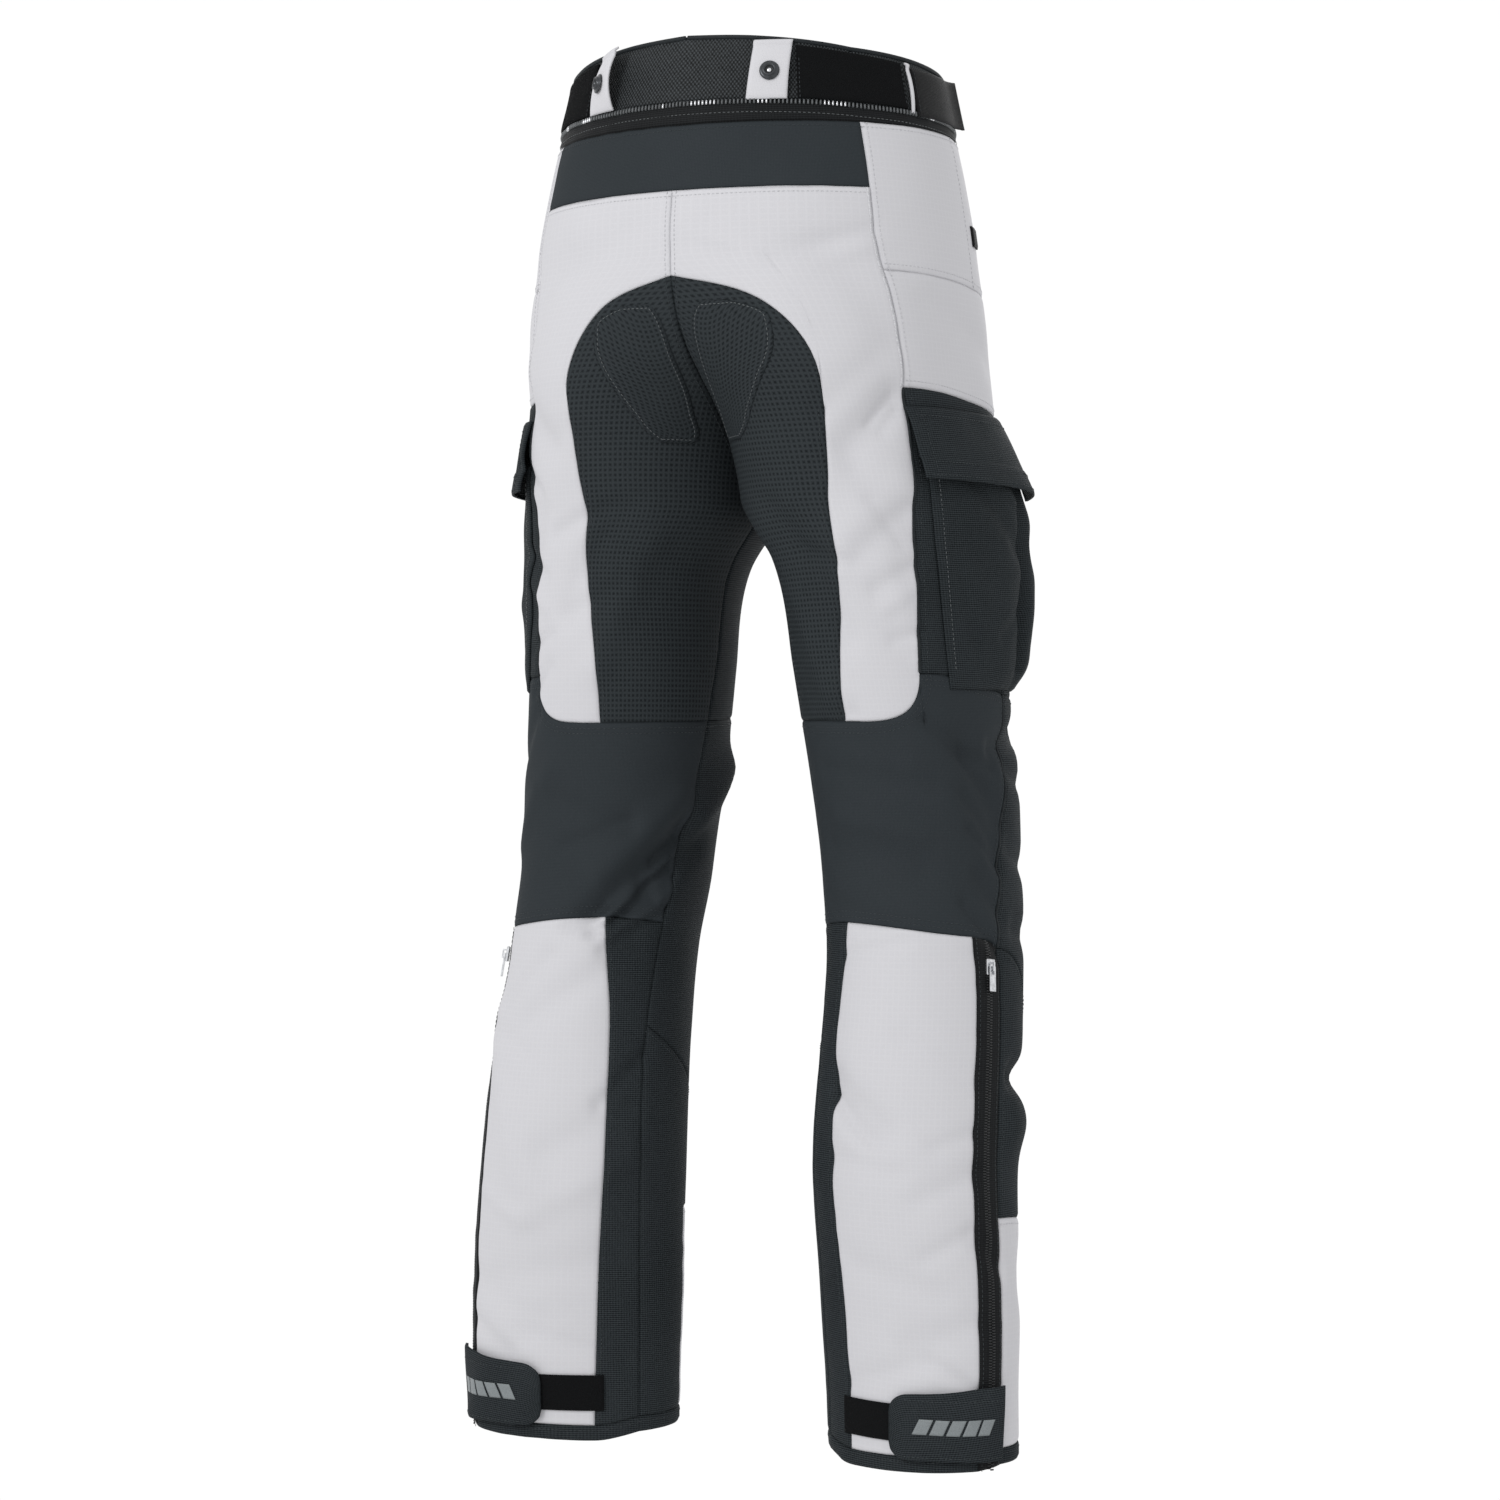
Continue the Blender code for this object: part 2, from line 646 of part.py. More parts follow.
def make_seat_pad(side):
    """Sewn-on patch over each seat bone, between columns of the seat panel."""
    heights = np.array([edge.height for edge in SEAT_PAD])
    starts = np.array([edge.start for edge in SEAT_PAD])
    ends = np.array([edge.end for edge in SEAT_PAD])
    share = np.linspace(0, 1, SEAT_PAD_COLUMNS)
    columns = starts[:, None] + (ends - starts)[:, None] * share
    heights = np.broadcast_to(heights[:, None], columns.shape)
    angles = column_angle(side, columns, heights)
    add_sheet(f"seat_pad_{side}", side, angles, heights, SEAT_PAD_LIFT[side], PATCH, DARK)


def loop_bow(place, bow, height):
    """How far a belt loop stands off between its sewn ends."""
    start, end, low, high = place
    share = (high - height) / (high - low)
    return 4 * share * (1 - share) * bow


def make_waist_trims(side):
    """Hook-and-loop pad, adjusting strap with its standing tip, and the belt loops."""
    angles, heights = strip_grid(WAIST_PAD, 9, 3)
    add_sheet(f"waist_pad_{side}", side, angles, heights, LIE, PATCH, BLACK)
    angles, heights = strip_grid(WAIST_STRAP, 9, 3)
    tip_start, tip_end = STRAP_TIP_ANGLES
    tip = np.clip((angles - tip_start) / (tip_end - tip_start), 0, 1) ** 2 * STRAP_TIP
    add_sheet(f"waist_strap_{side}", side, angles, heights, LIE + tip, STRAP, BLACK)
    angles, heights = strip_grid(LOOP_BACK, 4, 7)
    lift = LIE + loop_bow(LOOP_BACK, LOOP_BACK_BOW, heights)
    add_sheet(f"loop_back_{side}", side, angles, heights, lift, CLOTH, GREY)
    angles, heights = strip_grid(LOOP_SIDE, 2, 6)
    lift = LIE + loop_bow(LOOP_SIDE, LOOP_SIDE_BOW, heights)
    add_sheet(f"loop_side_{side}", side, angles, heights, lift, CLOTH, GREY)


def make_stud(side):
    """Press stud turned about its own axis, seated on the back loop."""
    look = material(f"loop_stud_{side}", BLACK, metallic=0.8, roughness=0.35)
    mesh = bpy.data.meshes.new(f"loop_stud_{side}")
    points = [(radius, 0.0, height) for radius, height in STUD_PROFILE]
    mesh.from_pydata(points, [(i, i + 1) for i in range(len(points) - 1)], [])
    stud = add_object(f"loop_stud_{side}", mesh, look)
    turned = stud.modifiers.new("turned", "SCREW")
    turned.axis = "Z"
    turned.steps = STUD_STEPS
    turned.render_steps = STUD_STEPS
    turned.use_merge_vertices = True
    turned.merge_threshold = 0.00001
    lift = LIE + loop_bow(LOOP_BACK, LOOP_BACK_BOW, STUD_HEIGHT) + CLOTH + SEAM_GAP
    place, out = surface(side, STUD_ANGLE, STUD_HEIGHT)
    stud.location = Vector(place + out * lift)
    stud.rotation_euler = Vector(out).to_track_quat("Z", "Y").to_euler()


def make_hem_trims(side):
    """Fastening patch and the strap with its round end that closes over it."""
    angles, heights = strip_grid(HEM_PAD, 7, 2)
    add_sheet(f"hem_pad_{side}", side, angles, heights, LIE, PATCH, BLACK)
    start, end, low, high = HEM_STRAP
    angles = np.array([start, start + 3, *np.linspace(start + 9, end, 9)])
    pinch = np.array([0.30, 0.12, *np.zeros(9)])
    middle = (low + high) / 2
    reach = (high - low) / 2 * (1 - pinch)
    share = np.linspace(1, -1, 4)
    heights = middle + share[:, None] * reach
    angles = np.broadcast_to(angles, heights.shape)
    lift = LIE * 2 + PATCH + 0 * angles
    add_sheet(f"hem_strap_{side}", side, angles, heights, lift, STRAP, DARK)


def make_pocket(side):
    """Tab at the hip pocket, bellows bag and the flap over its mouth."""
    angles, heights = strip_grid(POCKET_TAB, 3, 2)
    add_sheet(f"pocket_tab_{side}", side, angles, heights, LIE, CLOTH, BLACK)

    across = np.array([lobe.across for lobe in BAG_LOBES])
    lobes = np.array([lobe.depth for lobe in BAG_LOBES])
    rows = np.array([row.height for row in BAG_ROWS])
    shifts = np.array([row.shift for row in BAG_ROWS])
    depths = np.array([row.depth for row in BAG_ROWS])
    start, end = BAG_ANGLES
    heights = np.broadcast_to(rows[:, None], (len(rows), len(across)))
    angles = start + (end - start + shifts)[:, None] * across + slide_at(side, heights)
    lift = LIE + depths[:, None] * lobes
    add_sheet(f"pocket_bag_{side}", side, angles, heights, lift, CLOTH, DARK)

    share, down = np.meshgrid(np.linspace(0, 1, FLAP_COLUMNS), np.linspace(0, 1, FLAP_ROWS))
    angles = FLAP_ANGLES[0] + (FLAP_ANGLES[1] - FLAP_ANGLES[0]) * share
    heights = FLAP_HEIGHTS[0] + (FLAP_HEIGHTS[1] - FLAP_HEIGHTS[0] - FLAP_DROP * share) * down
    angles = angles + slide_at(side, heights)
    top, rear, front = FLAP_LIFT
    lift = top + down * (rear - top + (front - rear) * np.minimum(share / 0.75, 1) ** 1.1)
    add_sheet(f"pocket_flap_{side}", side, angles, heights, lift, STRAP, DARK)


def box_mesh(bm, size, centre):
    """Add a box of the given size to a mesh."""
    made = bmesh.ops.create_cube(bm, size=1.0)
    bmesh.ops.scale(bm, vec=size, verts=made["verts"])
    bmesh.ops.translate(bm, vec=centre, verts=made["verts"])


def box_object(name, size, centre, collection):
    """Box with its size in its mesh."""
    bm = bmesh.new()
    box_mesh(bm, size, centre)
    mesh = bpy.data.meshes.new(name)
    bm.to_mesh(mesh)
    bm.free()
    item = bpy.data.objects.new(name, mesh)
    collection.objects.link(item)
    return item


def zip_frame(side):
    """Place of the slider: local x round the leg, y up the zip and z outwards."""
    place, out = surface(side, SLIDER_ANGLE, SLIDER_HEIGHT)
    above, _ = surface(side, SLIDER_ANGLE, SLIDER_HEIGHT + 0.01)
    up = Vector(above - place).normalized()
    out = Vector(out)
    up = (up - out * up.dot(out)).normalized()
    across = up.cross(out)
    turn = Matrix((across, up, out)).transposed().to_4x4()
    return Matrix.Translation(Vector(place) + out * LIE) @ turn


def make_slider(side, guides):
    """Slider body with the bridge that holds the pull tab."""
    name = f"zip_slider_{side}"
    width, length, height = SLIDER_SIZE
    slider = box_object(name, SLIDER_SIZE, (0, 0, height / 2), bpy.data.collections[COLLECTION])
    slider.data.materials.append(material(name, SILVER, metallic=0.9, roughness=0.3))
    bevel = slider.modifiers.new("edges", "BEVEL")
    bevel.width = 0.0005
    bevel.segments = 1
    bridge_width, bridge_length, bridge_height = BRIDGE_SIZE
    sink = 0.0004
    reach = (bridge_length - BRIDGE_BAR) / 2
    leg = (bridge_width, BRIDGE_BAR, bridge_height + sink)
    leg_height = height + (bridge_height - sink) / 2
    crown = (bridge_width, bridge_length, BRIDGE_BAR)
    crown_height = height + bridge_height - BRIDGE_BAR / 2
    pieces = (
        (leg, (0, reach, leg_height)),
        (leg, (0, -reach, leg_height)),
        (crown, (0, 0, crown_height)),
    )
    for number, (size, centre) in enumerate(pieces):
        guide = box_object(f"{name}_bridge_{number}", size, centre, guides)
        guide.hide_render = True
        guide.display_type = "WIRE"
        guide.matrix_world = zip_frame(side)
        union = slider.modifiers.new(f"bridge_{number}", "BOOLEAN")
        union.operation = "UNION"
        union.object = guide
    slider.matrix_world = zip_frame(side)


def pull_outline(half_width, top, bottom, corner):
    """Points of a tab with round corners, anticlockwise."""
    points = []
    for x, y, start in (
        (half_width - corner, top - corner, 0),
        (corner - half_width, top - corner, 90),
        (corner - half_width, bottom + corner, 180),
        (half_width - corner, bottom + corner, 270),
    ):
        for step in range(4):
            angle = radians(start + 30 * step)
            points.append((x + corner * np.cos(angle), y + corner * np.sin(angle)))
    return points


def make_pull(side):
    """Pull tab, hanging; its bar runs under the bridge and its origin is the bar's middle."""
    name = f"zip_pull_{side}"
    width, length = PULL_SIZE
    window_width, window_length = PULL_WINDOW
    half_bar = PULL_BAR / 2
    outline = pull_outline(width / 2, half_bar, half_bar - length, PULL_CORNER / 3)
    window = [
        (-window_width / 2, -half_bar),
        (window_width / 2, -half_bar),
        (window_width / 2, -half_bar - window_length),
        (-window_width / 2, -half_bar - window_length),
    ]
    curve = bpy.data.curves.new(name, "CURVE")
    curve.dimensions = "2D"
    curve.fill_mode = "BOTH"
    curve.extrude = half_bar
    for points in (outline, window):
        spline = curve.splines.new("POLY")
        spline.points.add(len(points) - 1)
        for point, (x, y) in zip(spline.points, points):
            point.co = (x, y, 0.0, 1.0)
        spline.use_cyclic_u = True
    pull = add_object(name, curve, material(name, SILVER, metallic=0.9, roughness=0.3))
    weld = pull.modifiers.new("weld", "WELD")
    weld.merge_threshold = 0.00001
    lift = SLIDER_SIZE[2] + PULL_AXIS_LIFT
    pull.matrix_world = zip_frame(side) @ Matrix.Translation((0, 0, lift))


def main():
    clear_scene()
    collection = bpy.data.collections.new(COLLECTION)
    guides = bpy.data.collections.new("guides")
    bpy.context.scene.collection.children.link(collection)
    bpy.context.scene.collection.children.link(guides)
    grids = {side: side_grid(side) for side in SIDES}
    for name, (colour, thickness, blocks) in MIDDLE_PANELS.items():
        add_panel(name, grids, SIDES, blocks, thickness, colour)
    for side in SIDES:
        for name, (colour, thickness, blocks) in SIDE_PANELS.items():
            add_panel(f"{name}_{side}", grids, (side,), blocks, thickness, colour)
        make_seat_pad(side)
        make_waist_trims(side)
        make_stud(side)
        make_hem_trims(side)
        make_pocket(side)
        make_slider(side, guides)
        make_pull(side)


main()
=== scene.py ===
# Motorcycle trousers seen from behind: every cloth piece as fine sewn cloth on the CAD's form
import math
import bmesh
import bpy
import numpy as np
from mathutils import Matrix, Vector


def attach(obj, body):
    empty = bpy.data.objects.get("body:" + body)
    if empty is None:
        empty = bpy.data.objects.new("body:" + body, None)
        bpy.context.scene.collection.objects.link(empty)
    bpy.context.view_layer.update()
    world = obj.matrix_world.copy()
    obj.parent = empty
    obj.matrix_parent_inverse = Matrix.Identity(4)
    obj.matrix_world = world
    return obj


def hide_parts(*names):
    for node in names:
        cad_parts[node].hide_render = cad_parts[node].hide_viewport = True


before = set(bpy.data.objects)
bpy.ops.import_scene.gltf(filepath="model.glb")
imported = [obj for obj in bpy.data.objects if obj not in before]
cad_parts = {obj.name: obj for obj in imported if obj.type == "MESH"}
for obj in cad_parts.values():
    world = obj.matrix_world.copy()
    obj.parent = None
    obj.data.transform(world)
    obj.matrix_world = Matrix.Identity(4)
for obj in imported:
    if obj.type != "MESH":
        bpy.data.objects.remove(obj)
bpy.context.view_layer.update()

print("frame loaded:", len(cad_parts), "nodes")

sides = ("left", "right")


def table(names, *rows):
    # rows of numbers under named columns
    return dict(zip(names.split(), np.array(rows, float).T))


# The worn form, as the CAD has it: metres, and degrees from straight back towards the outside
wornForm = {
    "squareness": 2.1,
    "crotch": -0.290,
    "sections": table(
        "height gap outer back front middle",
        (0.060, 0.000, 0.143, 0.112, 0.112, 0.000),
        (0.000, 0.000, 0.156, 0.125, 0.120, 0.000),
        (-0.050, 0.000, 0.168, 0.134, 0.124, 0.000),
        (-0.100, 0.000, 0.176, 0.140, 0.129, 0.000),
        (-0.150, 0.000, 0.180, 0.140, 0.134, -0.002),
        (-0.200, 0.000, 0.181, 0.136, 0.134, -0.006),
        (-0.250, 0.000, 0.184, 0.126, 0.126, -0.010),
        (-0.290, 0.000, 0.187, 0.116, 0.114, -0.010),
        (-0.340, 0.028, 0.188, 0.106, 0.104, -0.010),
        (-0.420, 0.040, 0.194, 0.096, 0.098, -0.012),
        (-0.500, 0.050, 0.202, 0.086, 0.093, -0.016),
        (-0.580, 0.060, 0.206, 0.078, 0.093, -0.014),
        (-0.640, 0.066, 0.212, 0.074, 0.086, -0.006),
        (-0.720, 0.064, 0.220, 0.072, 0.070, 0.004),
        (-0.800, 0.062, 0.225, 0.068, 0.064, 0.012),
        (-0.900, 0.065, 0.231, 0.058, 0.054, 0.014),
        (-1.040, 0.068, 0.234, 0.052, 0.048, 0.014),
    ),
    "rise": table(
        "height depth",
        (-0.090, 1.00), (-0.110, 1.00), (-0.150, 0.97), (-0.180, 0.87), (-0.210, 0.66),
        (-0.240, 0.46), (-0.265, 0.29), (-0.280, 0.16), (-0.290, 0.00),
    ),
    "left": table(
        "height out back turn slide",
        (-0.100, 0.000, 0.000, 0, 0),
        (-0.180, 0.000, 0.000, 0, -8),
        (-0.290, 0.000, 0.000, 0, -9),
        (-0.400, 0.000, 0.002, 5, -5),
        (-0.600, 0.000, 0.004, 8, 0),
        (-0.800, 0.001, 0.006, 14, 0),
        (-1.040, 0.002, 0.006, 20, 2),
    ),
    "right": table(
        "height out back turn slide",
        (-0.100, 0.000, 0.000, 0, 0),
        (-0.180, 0.000, 0.000, 0, 2),
        (-0.290, 0.000, 0.000, 0, 2),
        (-0.400, 0.000, -0.002, 0, 1),
        (-0.600, 0.000, -0.002, 4, 0),
        (-0.800, -0.001, -0.002, 10, 0),
        (-1.040, -0.002, -0.002, 16, 0),
    ),
    "seams": table(
        "height seat stripe side inseam",
        (0.060, 24, 52, 116, -90),
        (-0.130, 24, 54, 118, -90),
        (-0.180, 23, 54, 118, -90),
        (-0.230, 16, 52, 118, -90),
        (-0.300, 9, 48, 117, -90),
        (-0.370, 1, 43, 112, -88),
        (-0.450, -6, 39, 98, -80),
        (-0.520, -11, 44, 92, -72),
        (-0.580, -16, 54, 86, -66),
        (-0.640, -22, 63, 83, -57),
        (-0.700, -26, 65, 83, -50),
        (-0.900, -20, 65, 84, -45),
        (-1.040, -18, 64, 84, -44),
    ),
}

# Cross seams: heights at the columns of the long seams, over the shin and at the front
crossPlaces = (0.0, 1.0, 2.0, 3.0, 3.5, 4.0)
crossSeams = {
    "top": (0.052, 0.048, 0.040, 0.028, 0.020, 0.015),
    "zip": (0.002, 0.001, -0.002, -0.008, -0.012, -0.014),
    "body": (-0.016, -0.016, -0.016, -0.018, -0.022, -0.024),
    "yoke": (-0.066, -0.066, -0.066, -0.070, -0.080, -0.090),
    "hip": (-0.130, -0.232, -0.128, -0.138, -0.145, -0.150),
    "flap": (-0.222, -0.262, -0.215, -0.226, -0.228, -0.220),
    "crotch": (-0.290, -0.300, -0.300, -0.300, -0.300, -0.290),
    "thigh": (-0.462, -0.464, -0.428, -0.442, -0.455, -0.462),
    "knee": (-0.620, -0.615, -0.625, -0.634, -0.780, -0.700),
    "shin": (-0.830, -0.830, -0.835, -0.834, -0.850, -0.840),
    "hem": (-1.006, -1.012, -1.008, -1.004, -1.000, -1.006),
    "end": (-1.018, -1.024, -1.020, -1.016, -1.012, -1.018),
}

# Column before the corner, powers along and down, and the share of the drop that is straight
roundCorners = {"hip": (0, 5.0, 2.0, 0.20), "thigh": (1, 4.0, 2.0, 0.0)}

# How fine the cloth is: cells between the long seams, and between one cross seam and the next
clothGrid = {
    "long": ((0.0, 30), (1.0, 26), (2.0, 34), (3.0, 50), (3.8, 12), (4.0, 0)),
    "cross": {
        "top": 16, "zip": 6, "body": 16, "yoke": 26, "hip": 26, "flap": 22,
        "crotch": 50, "thigh": 48, "knee": 62, "shin": 52, "hem": 4,
    },
    "easeLong": 0.60,
    "easeCross": 0.50,
}

# Folds of the CAD's walls: a line from place to place, its half width and its depth
foldColumns = "angle height toAngle toHeight width depth"
hiddenFolds = (
    (84, -0.485, 128, -0.470, 0.011, -0.007), (98, -0.730, 160, -0.742, 0.012, -0.010),
    (100, -0.766, 160, -0.770, 0.020, 0.006), (130, -0.330, 200, -0.300, 0.016, -0.006),
    (150, -0.470, 220, -0.500, 0.014, -0.006), (120, -0.880, 200, -0.930, 0.018, -0.005),
)
mainFolds = {
    "left": table(
        foldColumns,
        (-66, -0.548, -10, -0.612, 0.013, -0.007),
        (-60, -0.525, -14, -0.578, 0.016, 0.005),
        (-82, -0.560, -42, -0.590, 0.010, -0.006),
        (-110, -0.500, -80, -0.535, 0.016, 0.008),
        (20, -0.250, 48, -0.212, 0.014, -0.005),
        (60, -0.700, 20, -0.820, 0.020, 0.004),
        *hiddenFolds,
    ),
    "right": table(
        foldColumns,
        (24, -0.262, 50, -0.222, 0.014, -0.006),
        (12, -0.330, 44, -0.290, 0.018, 0.004),
        (-30, -0.560, 30, -0.572, 0.016, -0.004),
        (60, -0.480, 84, -0.540, 0.014, -0.005),
        (-24, -0.735, 10, -0.770, 0.014, -0.005),
        *hiddenFolds,
    ),
}

# Smaller creases that the wearer's stance leaves
kneeCreases = (
    (96, -0.560, 150, -0.590, 0.010, -0.0028), (100, -0.620, 160, -0.640, 0.010, -0.0026),
    (96, -0.500, 140, -0.520, 0.008, -0.0022),
)
creases = {
    "left": table(
        foldColumns,
        (-46, -0.590, 2, -0.622, 0.007, -0.0026), (-58, -0.572, -22, -0.604, 0.006, 0.0018),
        (-40, -0.640, 30, -0.700, 0.012, -0.0022), (-38, -0.760, 10, -0.800, 0.014, -0.0018),
        (-40, -0.800, 24, -0.850, 0.012, 0.0016), (-30, -0.880, 40, -0.900, 0.014, -0.0016),
        (10, -0.930, 60, -0.900, 0.012, -0.0014), (-20, -0.300, 10, -0.380, 0.012, -0.0020),
        (-36, -0.330, -8, -0.420, 0.014, 0.0020), (30, -0.300, 44, -0.380, 0.012, -0.0018),
        (34, -0.105, 50, -0.170, 0.012, -0.0016), (8, -0.090, 30, -0.120, 0.012, -0.0012),
        (36, -0.455, 66, -0.500, 0.008, -0.0020), (20, -0.500, 58, -0.560, 0.012, 0.0016),
        *kneeCreases,
        (22, -0.420, 40, -0.440, 0.006, -0.0016), (-60, -0.610, -20, -0.640, 0.007, -0.0024),
        (-30, -0.540, 10, -0.560, 0.006, -0.0018), (12, -0.645, 50, -0.690, 0.007, -0.0016),
        (-36, -0.960, 20, -0.940, 0.008, -0.0016), (-50, -0.720, -20, -0.760, 0.007, -0.0022),
        (-50, -0.602, -12, -0.628, 0.005, -0.0030), (-44, -0.578, -16, -0.612, 0.005, 0.0022),
        (-64, -0.585, -34, -0.612, 0.005, -0.0028), (-66, -0.553, -14, -0.612, 0.0045, -0.0026),
        (-64, -0.564, -20, -0.616, 0.0040, 0.0016), (-62, -0.575, -24, -0.618, 0.0045, -0.0026),
        (-30, -0.545, 30, -0.520, 0.009, -0.0016), (26, -0.350, 50, -0.332, 0.007, -0.0020),
        (24, -0.374, 48, -0.354, 0.006, 0.0014), (20, -0.395, 44, -0.405, 0.005, -0.0016),
        (30, -0.285, 46, -0.262, 0.005, -0.0016), (-24, -0.360, 6, -0.380, 0.008, -0.0018),
        (-10, -0.300, 16, -0.318, 0.008, -0.0020), (26, -0.720, 60, -0.700, 0.007, -0.0016),
        (20, -0.852, 58, -0.830, 0.007, 0.0012), (30, -0.955, 60, -0.935, 0.007, -0.0014),
    ),
    "right": table(
        foldColumns,
        (-34, -0.600, 10, -0.616, 0.010, -0.0016), (40, -0.462, 78, -0.512, 0.007, -0.0022),
        (58, -0.520, 86, -0.566, 0.007, -0.0024), (66, -0.580, 86, -0.612, 0.007, -0.0020),
        (30, -0.500, 70, -0.560, 0.014, 0.0018), (-26, -0.745, 4, -0.778, 0.006, -0.0030),
        (-30, -0.790, 20, -0.800, 0.010, -0.0016), (20, -0.700, 62, -0.730, 0.012, -0.0016),
        (30, -0.820, 66, -0.800, 0.010, -0.0018), (-10, -0.870, 40, -0.890, 0.012, -0.0014),
        (20, -0.930, 66, -0.910, 0.012, -0.0018), (62, -0.850, 84, -0.872, 0.008, -0.0016),
        (14, -0.236, 44, -0.196, 0.010, -0.0016), (26, -0.280, 50, -0.330, 0.012, -0.0020),
        (30, -0.350, 46, -0.420, 0.012, 0.0016), (-20, -0.300, 4, -0.400, 0.012, -0.0022),
        (-40, -0.320, -14, -0.440, 0.014, 0.0022), (10, -0.090, 34, -0.112, 0.012, -0.0012),
        (40, -0.110, 52, -0.180, 0.012, -0.0014), (72, -0.150, 108, -0.185, 0.012, -0.0016),
        *kneeCreases,
        (2, -0.104, 14, -0.116, 0.005, -0.0012), (26, -0.118, 52, -0.098, 0.006, -0.0012),
        (28, -0.128, 50, -0.112, 0.006, 0.0010), (36, -0.244, 48, -0.222, 0.004, -0.0016),
        (40, -0.250, 50, -0.232, 0.003, -0.0014), (30, -0.300, 40, -0.330, 0.006, -0.0012),
        (-20, -0.640, 20, -0.628, 0.006, -0.0014), (56, -0.600, 84, -0.640, 0.006, -0.0020),
        (-16, -0.960, 30, -0.940, 0.008, -0.0016), (40, -0.780, 64, -0.770, 0.006, -0.0014),
        (20, -0.335, 50, -0.302, 0.009, -0.0020), (22, -0.366, 48, -0.345, 0.006, -0.0016),
        (26, -0.380, 46, -0.362, 0.005, 0.0012), (28, -0.404, 46, -0.396, 0.005, -0.0014),
        (-16, -0.336, 14, -0.345, 0.007, -0.0018), (-34, -0.470, 0, -0.458, 0.007, -0.0016),
        (-26, -0.500, 40, -0.512, 0.009, -0.0016), (-20, -0.535, 34, -0.548, 0.008, 0.0014),
        (60, -0.545, 86, -0.575, 0.005, -0.0026), (62, -0.485, 84, -0.500, 0.005, -0.0026),
        (30, -0.865, 62, -0.842, 0.007, -0.0016), (34, -0.940, 66, -0.962, 0.006, -0.0016),
    ),
}

# Slack of the cloth between its creases, and the puckers along its seams
drape = {
    "foldRadius": 0.095,
    "creaseDepth": 1.4,
    "slackSizes": (0.085, 0.038),
    "slackDepths": (0.0016, 0.0007),
    "puckerPitch": 0.011,
    "puckerDepth": 0.0007,
    "puckerReach": 0.009,
    "puckerPatches": 0.09,
    "rollReach": 0.0026,
    "rollDepth": 0.0011,
    "thickness": 0.0012,
}


def curveThrough(x, places, values):
    # cubic pieces through the points, with each slope held to three times the flatter side
    places = np.asarray(places, float)
    values = np.asarray(values, float)
    if places[0] > places[-1]:
        places, values = places[::-1], values[::-1]
    x = np.clip(np.asarray(x, float), places[0], places[-1])
    step = np.diff(places)
    rate = np.diff(values) / step
    before, after = rate[:-1], rate[1:]
    mean = (before * step[1:] + after * step[:-1]) / (step[1:] + step[:-1])
    limit = 3 * np.minimum(np.abs(before), np.abs(after))
    inner = np.where(before * after > 0, np.sign(mean) * np.minimum(np.abs(mean), limit), 0.0)
    slope = np.concatenate([rate[:1], inner, rate[-1:]])
    i = np.clip(np.searchsorted(places, x, side="right") - 1, 0, len(places) - 2)
    h = step[i]
    t = (x - places[i]) / h
    return ((2*t**3 - 3*t**2 + 1) * values[i] + (t**3 - 2*t**2 + t) * h * slope[i]
            + (3*t**2 - 2*t**3) * values[i + 1] + (t**3 - t**2) * h * slope[i + 1])


def along(rows, name, height):
    return curveThrough(height, rows["height"], rows[name])


def squarish(value):
    # sign(v) |v|^(2/n), the sine or cosine of a superellipse
    return np.sign(value) * np.abs(value) ** (2 / wornForm["squareness"])


def riseOverlap(height):
    # how far the two legs' sections have parted, from 0 at the hips to 1 at the crotch
    rows, n = wornForm["rise"], wornForm["squareness"]
    return np.clip(curveThrough(height, rows["height"], (1 - rows["depth"]**n) ** (1 / n)), 0, 1)


def riseDepth(height):
    n = wornForm["squareness"]
    return (1 - riseOverlap(height)**n) ** (1 / n)


def smoothPoint(side, angle, height):
    # x = middle + half width * sin, y = middle + depth * cos, on a superellipse turned with the leg
    rows, stance, n = wornForm["sections"], wornForm[side], wornForm["squareness"]
    outer = along(rows, "outer", height)
    overlap = riseOverlap(height)
    inner = np.where(overlap < 1, outer * (overlap - 1) / (overlap + 1), along(rows, "gap", height))
    turn = np.radians(along(stance, "turn", height))
    sine, cosine = np.sin(np.radians(angle)), np.cos(np.radians(angle))
    across = (outer - inner) / 2 * squarish(sine)
    deep = np.where(cosine > 0, along(rows, "back", height), along(rows, "front", height)) * squarish(cosine)
    x = (outer + inner) / 2 + along(stance, "out", height) + across*np.cos(turn) - deep*np.sin(turn)
    y = along(rows, "middle", height) + along(stance, "back", height)
    y = y + across*np.sin(turn) + deep*np.cos(turn)
    return np.stack([x if side == "left" else -x, y, height + 0*x], axis=-1)


def slideAt(side, height):
    return along(wornForm[side], "slide", height)


def riseAngle(height):
    low = along(wornForm["seams"], "inseam", height)
    above = -np.degrees(np.arccos(riseDepth(height) ** (wornForm["squareness"] / 2)))
    return np.where(height > wornForm["crotch"], above, low)


def columnAngle(side, column, height):
    # angle of a place between the long seams: 0 centre back, 1 seat, 2 stripe, 3 side, 4 front
    column, height = np.broadcast_arrays(np.asarray(column, float), np.asarray(height, float))
    start, slide = riseAngle(height), slideAt(side, height)
    seams = wornForm["seams"]
    last = np.where(height > wornForm["crotch"], 180 - start, 360 + start)
    angles = np.stack([start, along(seams, "seat", height) + slide, along(seams, "stripe", height) + slide,
                       along(seams, "side", height), last])
    low = np.clip(np.floor(column).astype(int), 0, 3)
    first = np.take_along_axis(angles, low[None], 0)[0]
    second = np.take_along_axis(angles, low[None] + 1, 0)[0]
    return first + (second - first) * (column - low)


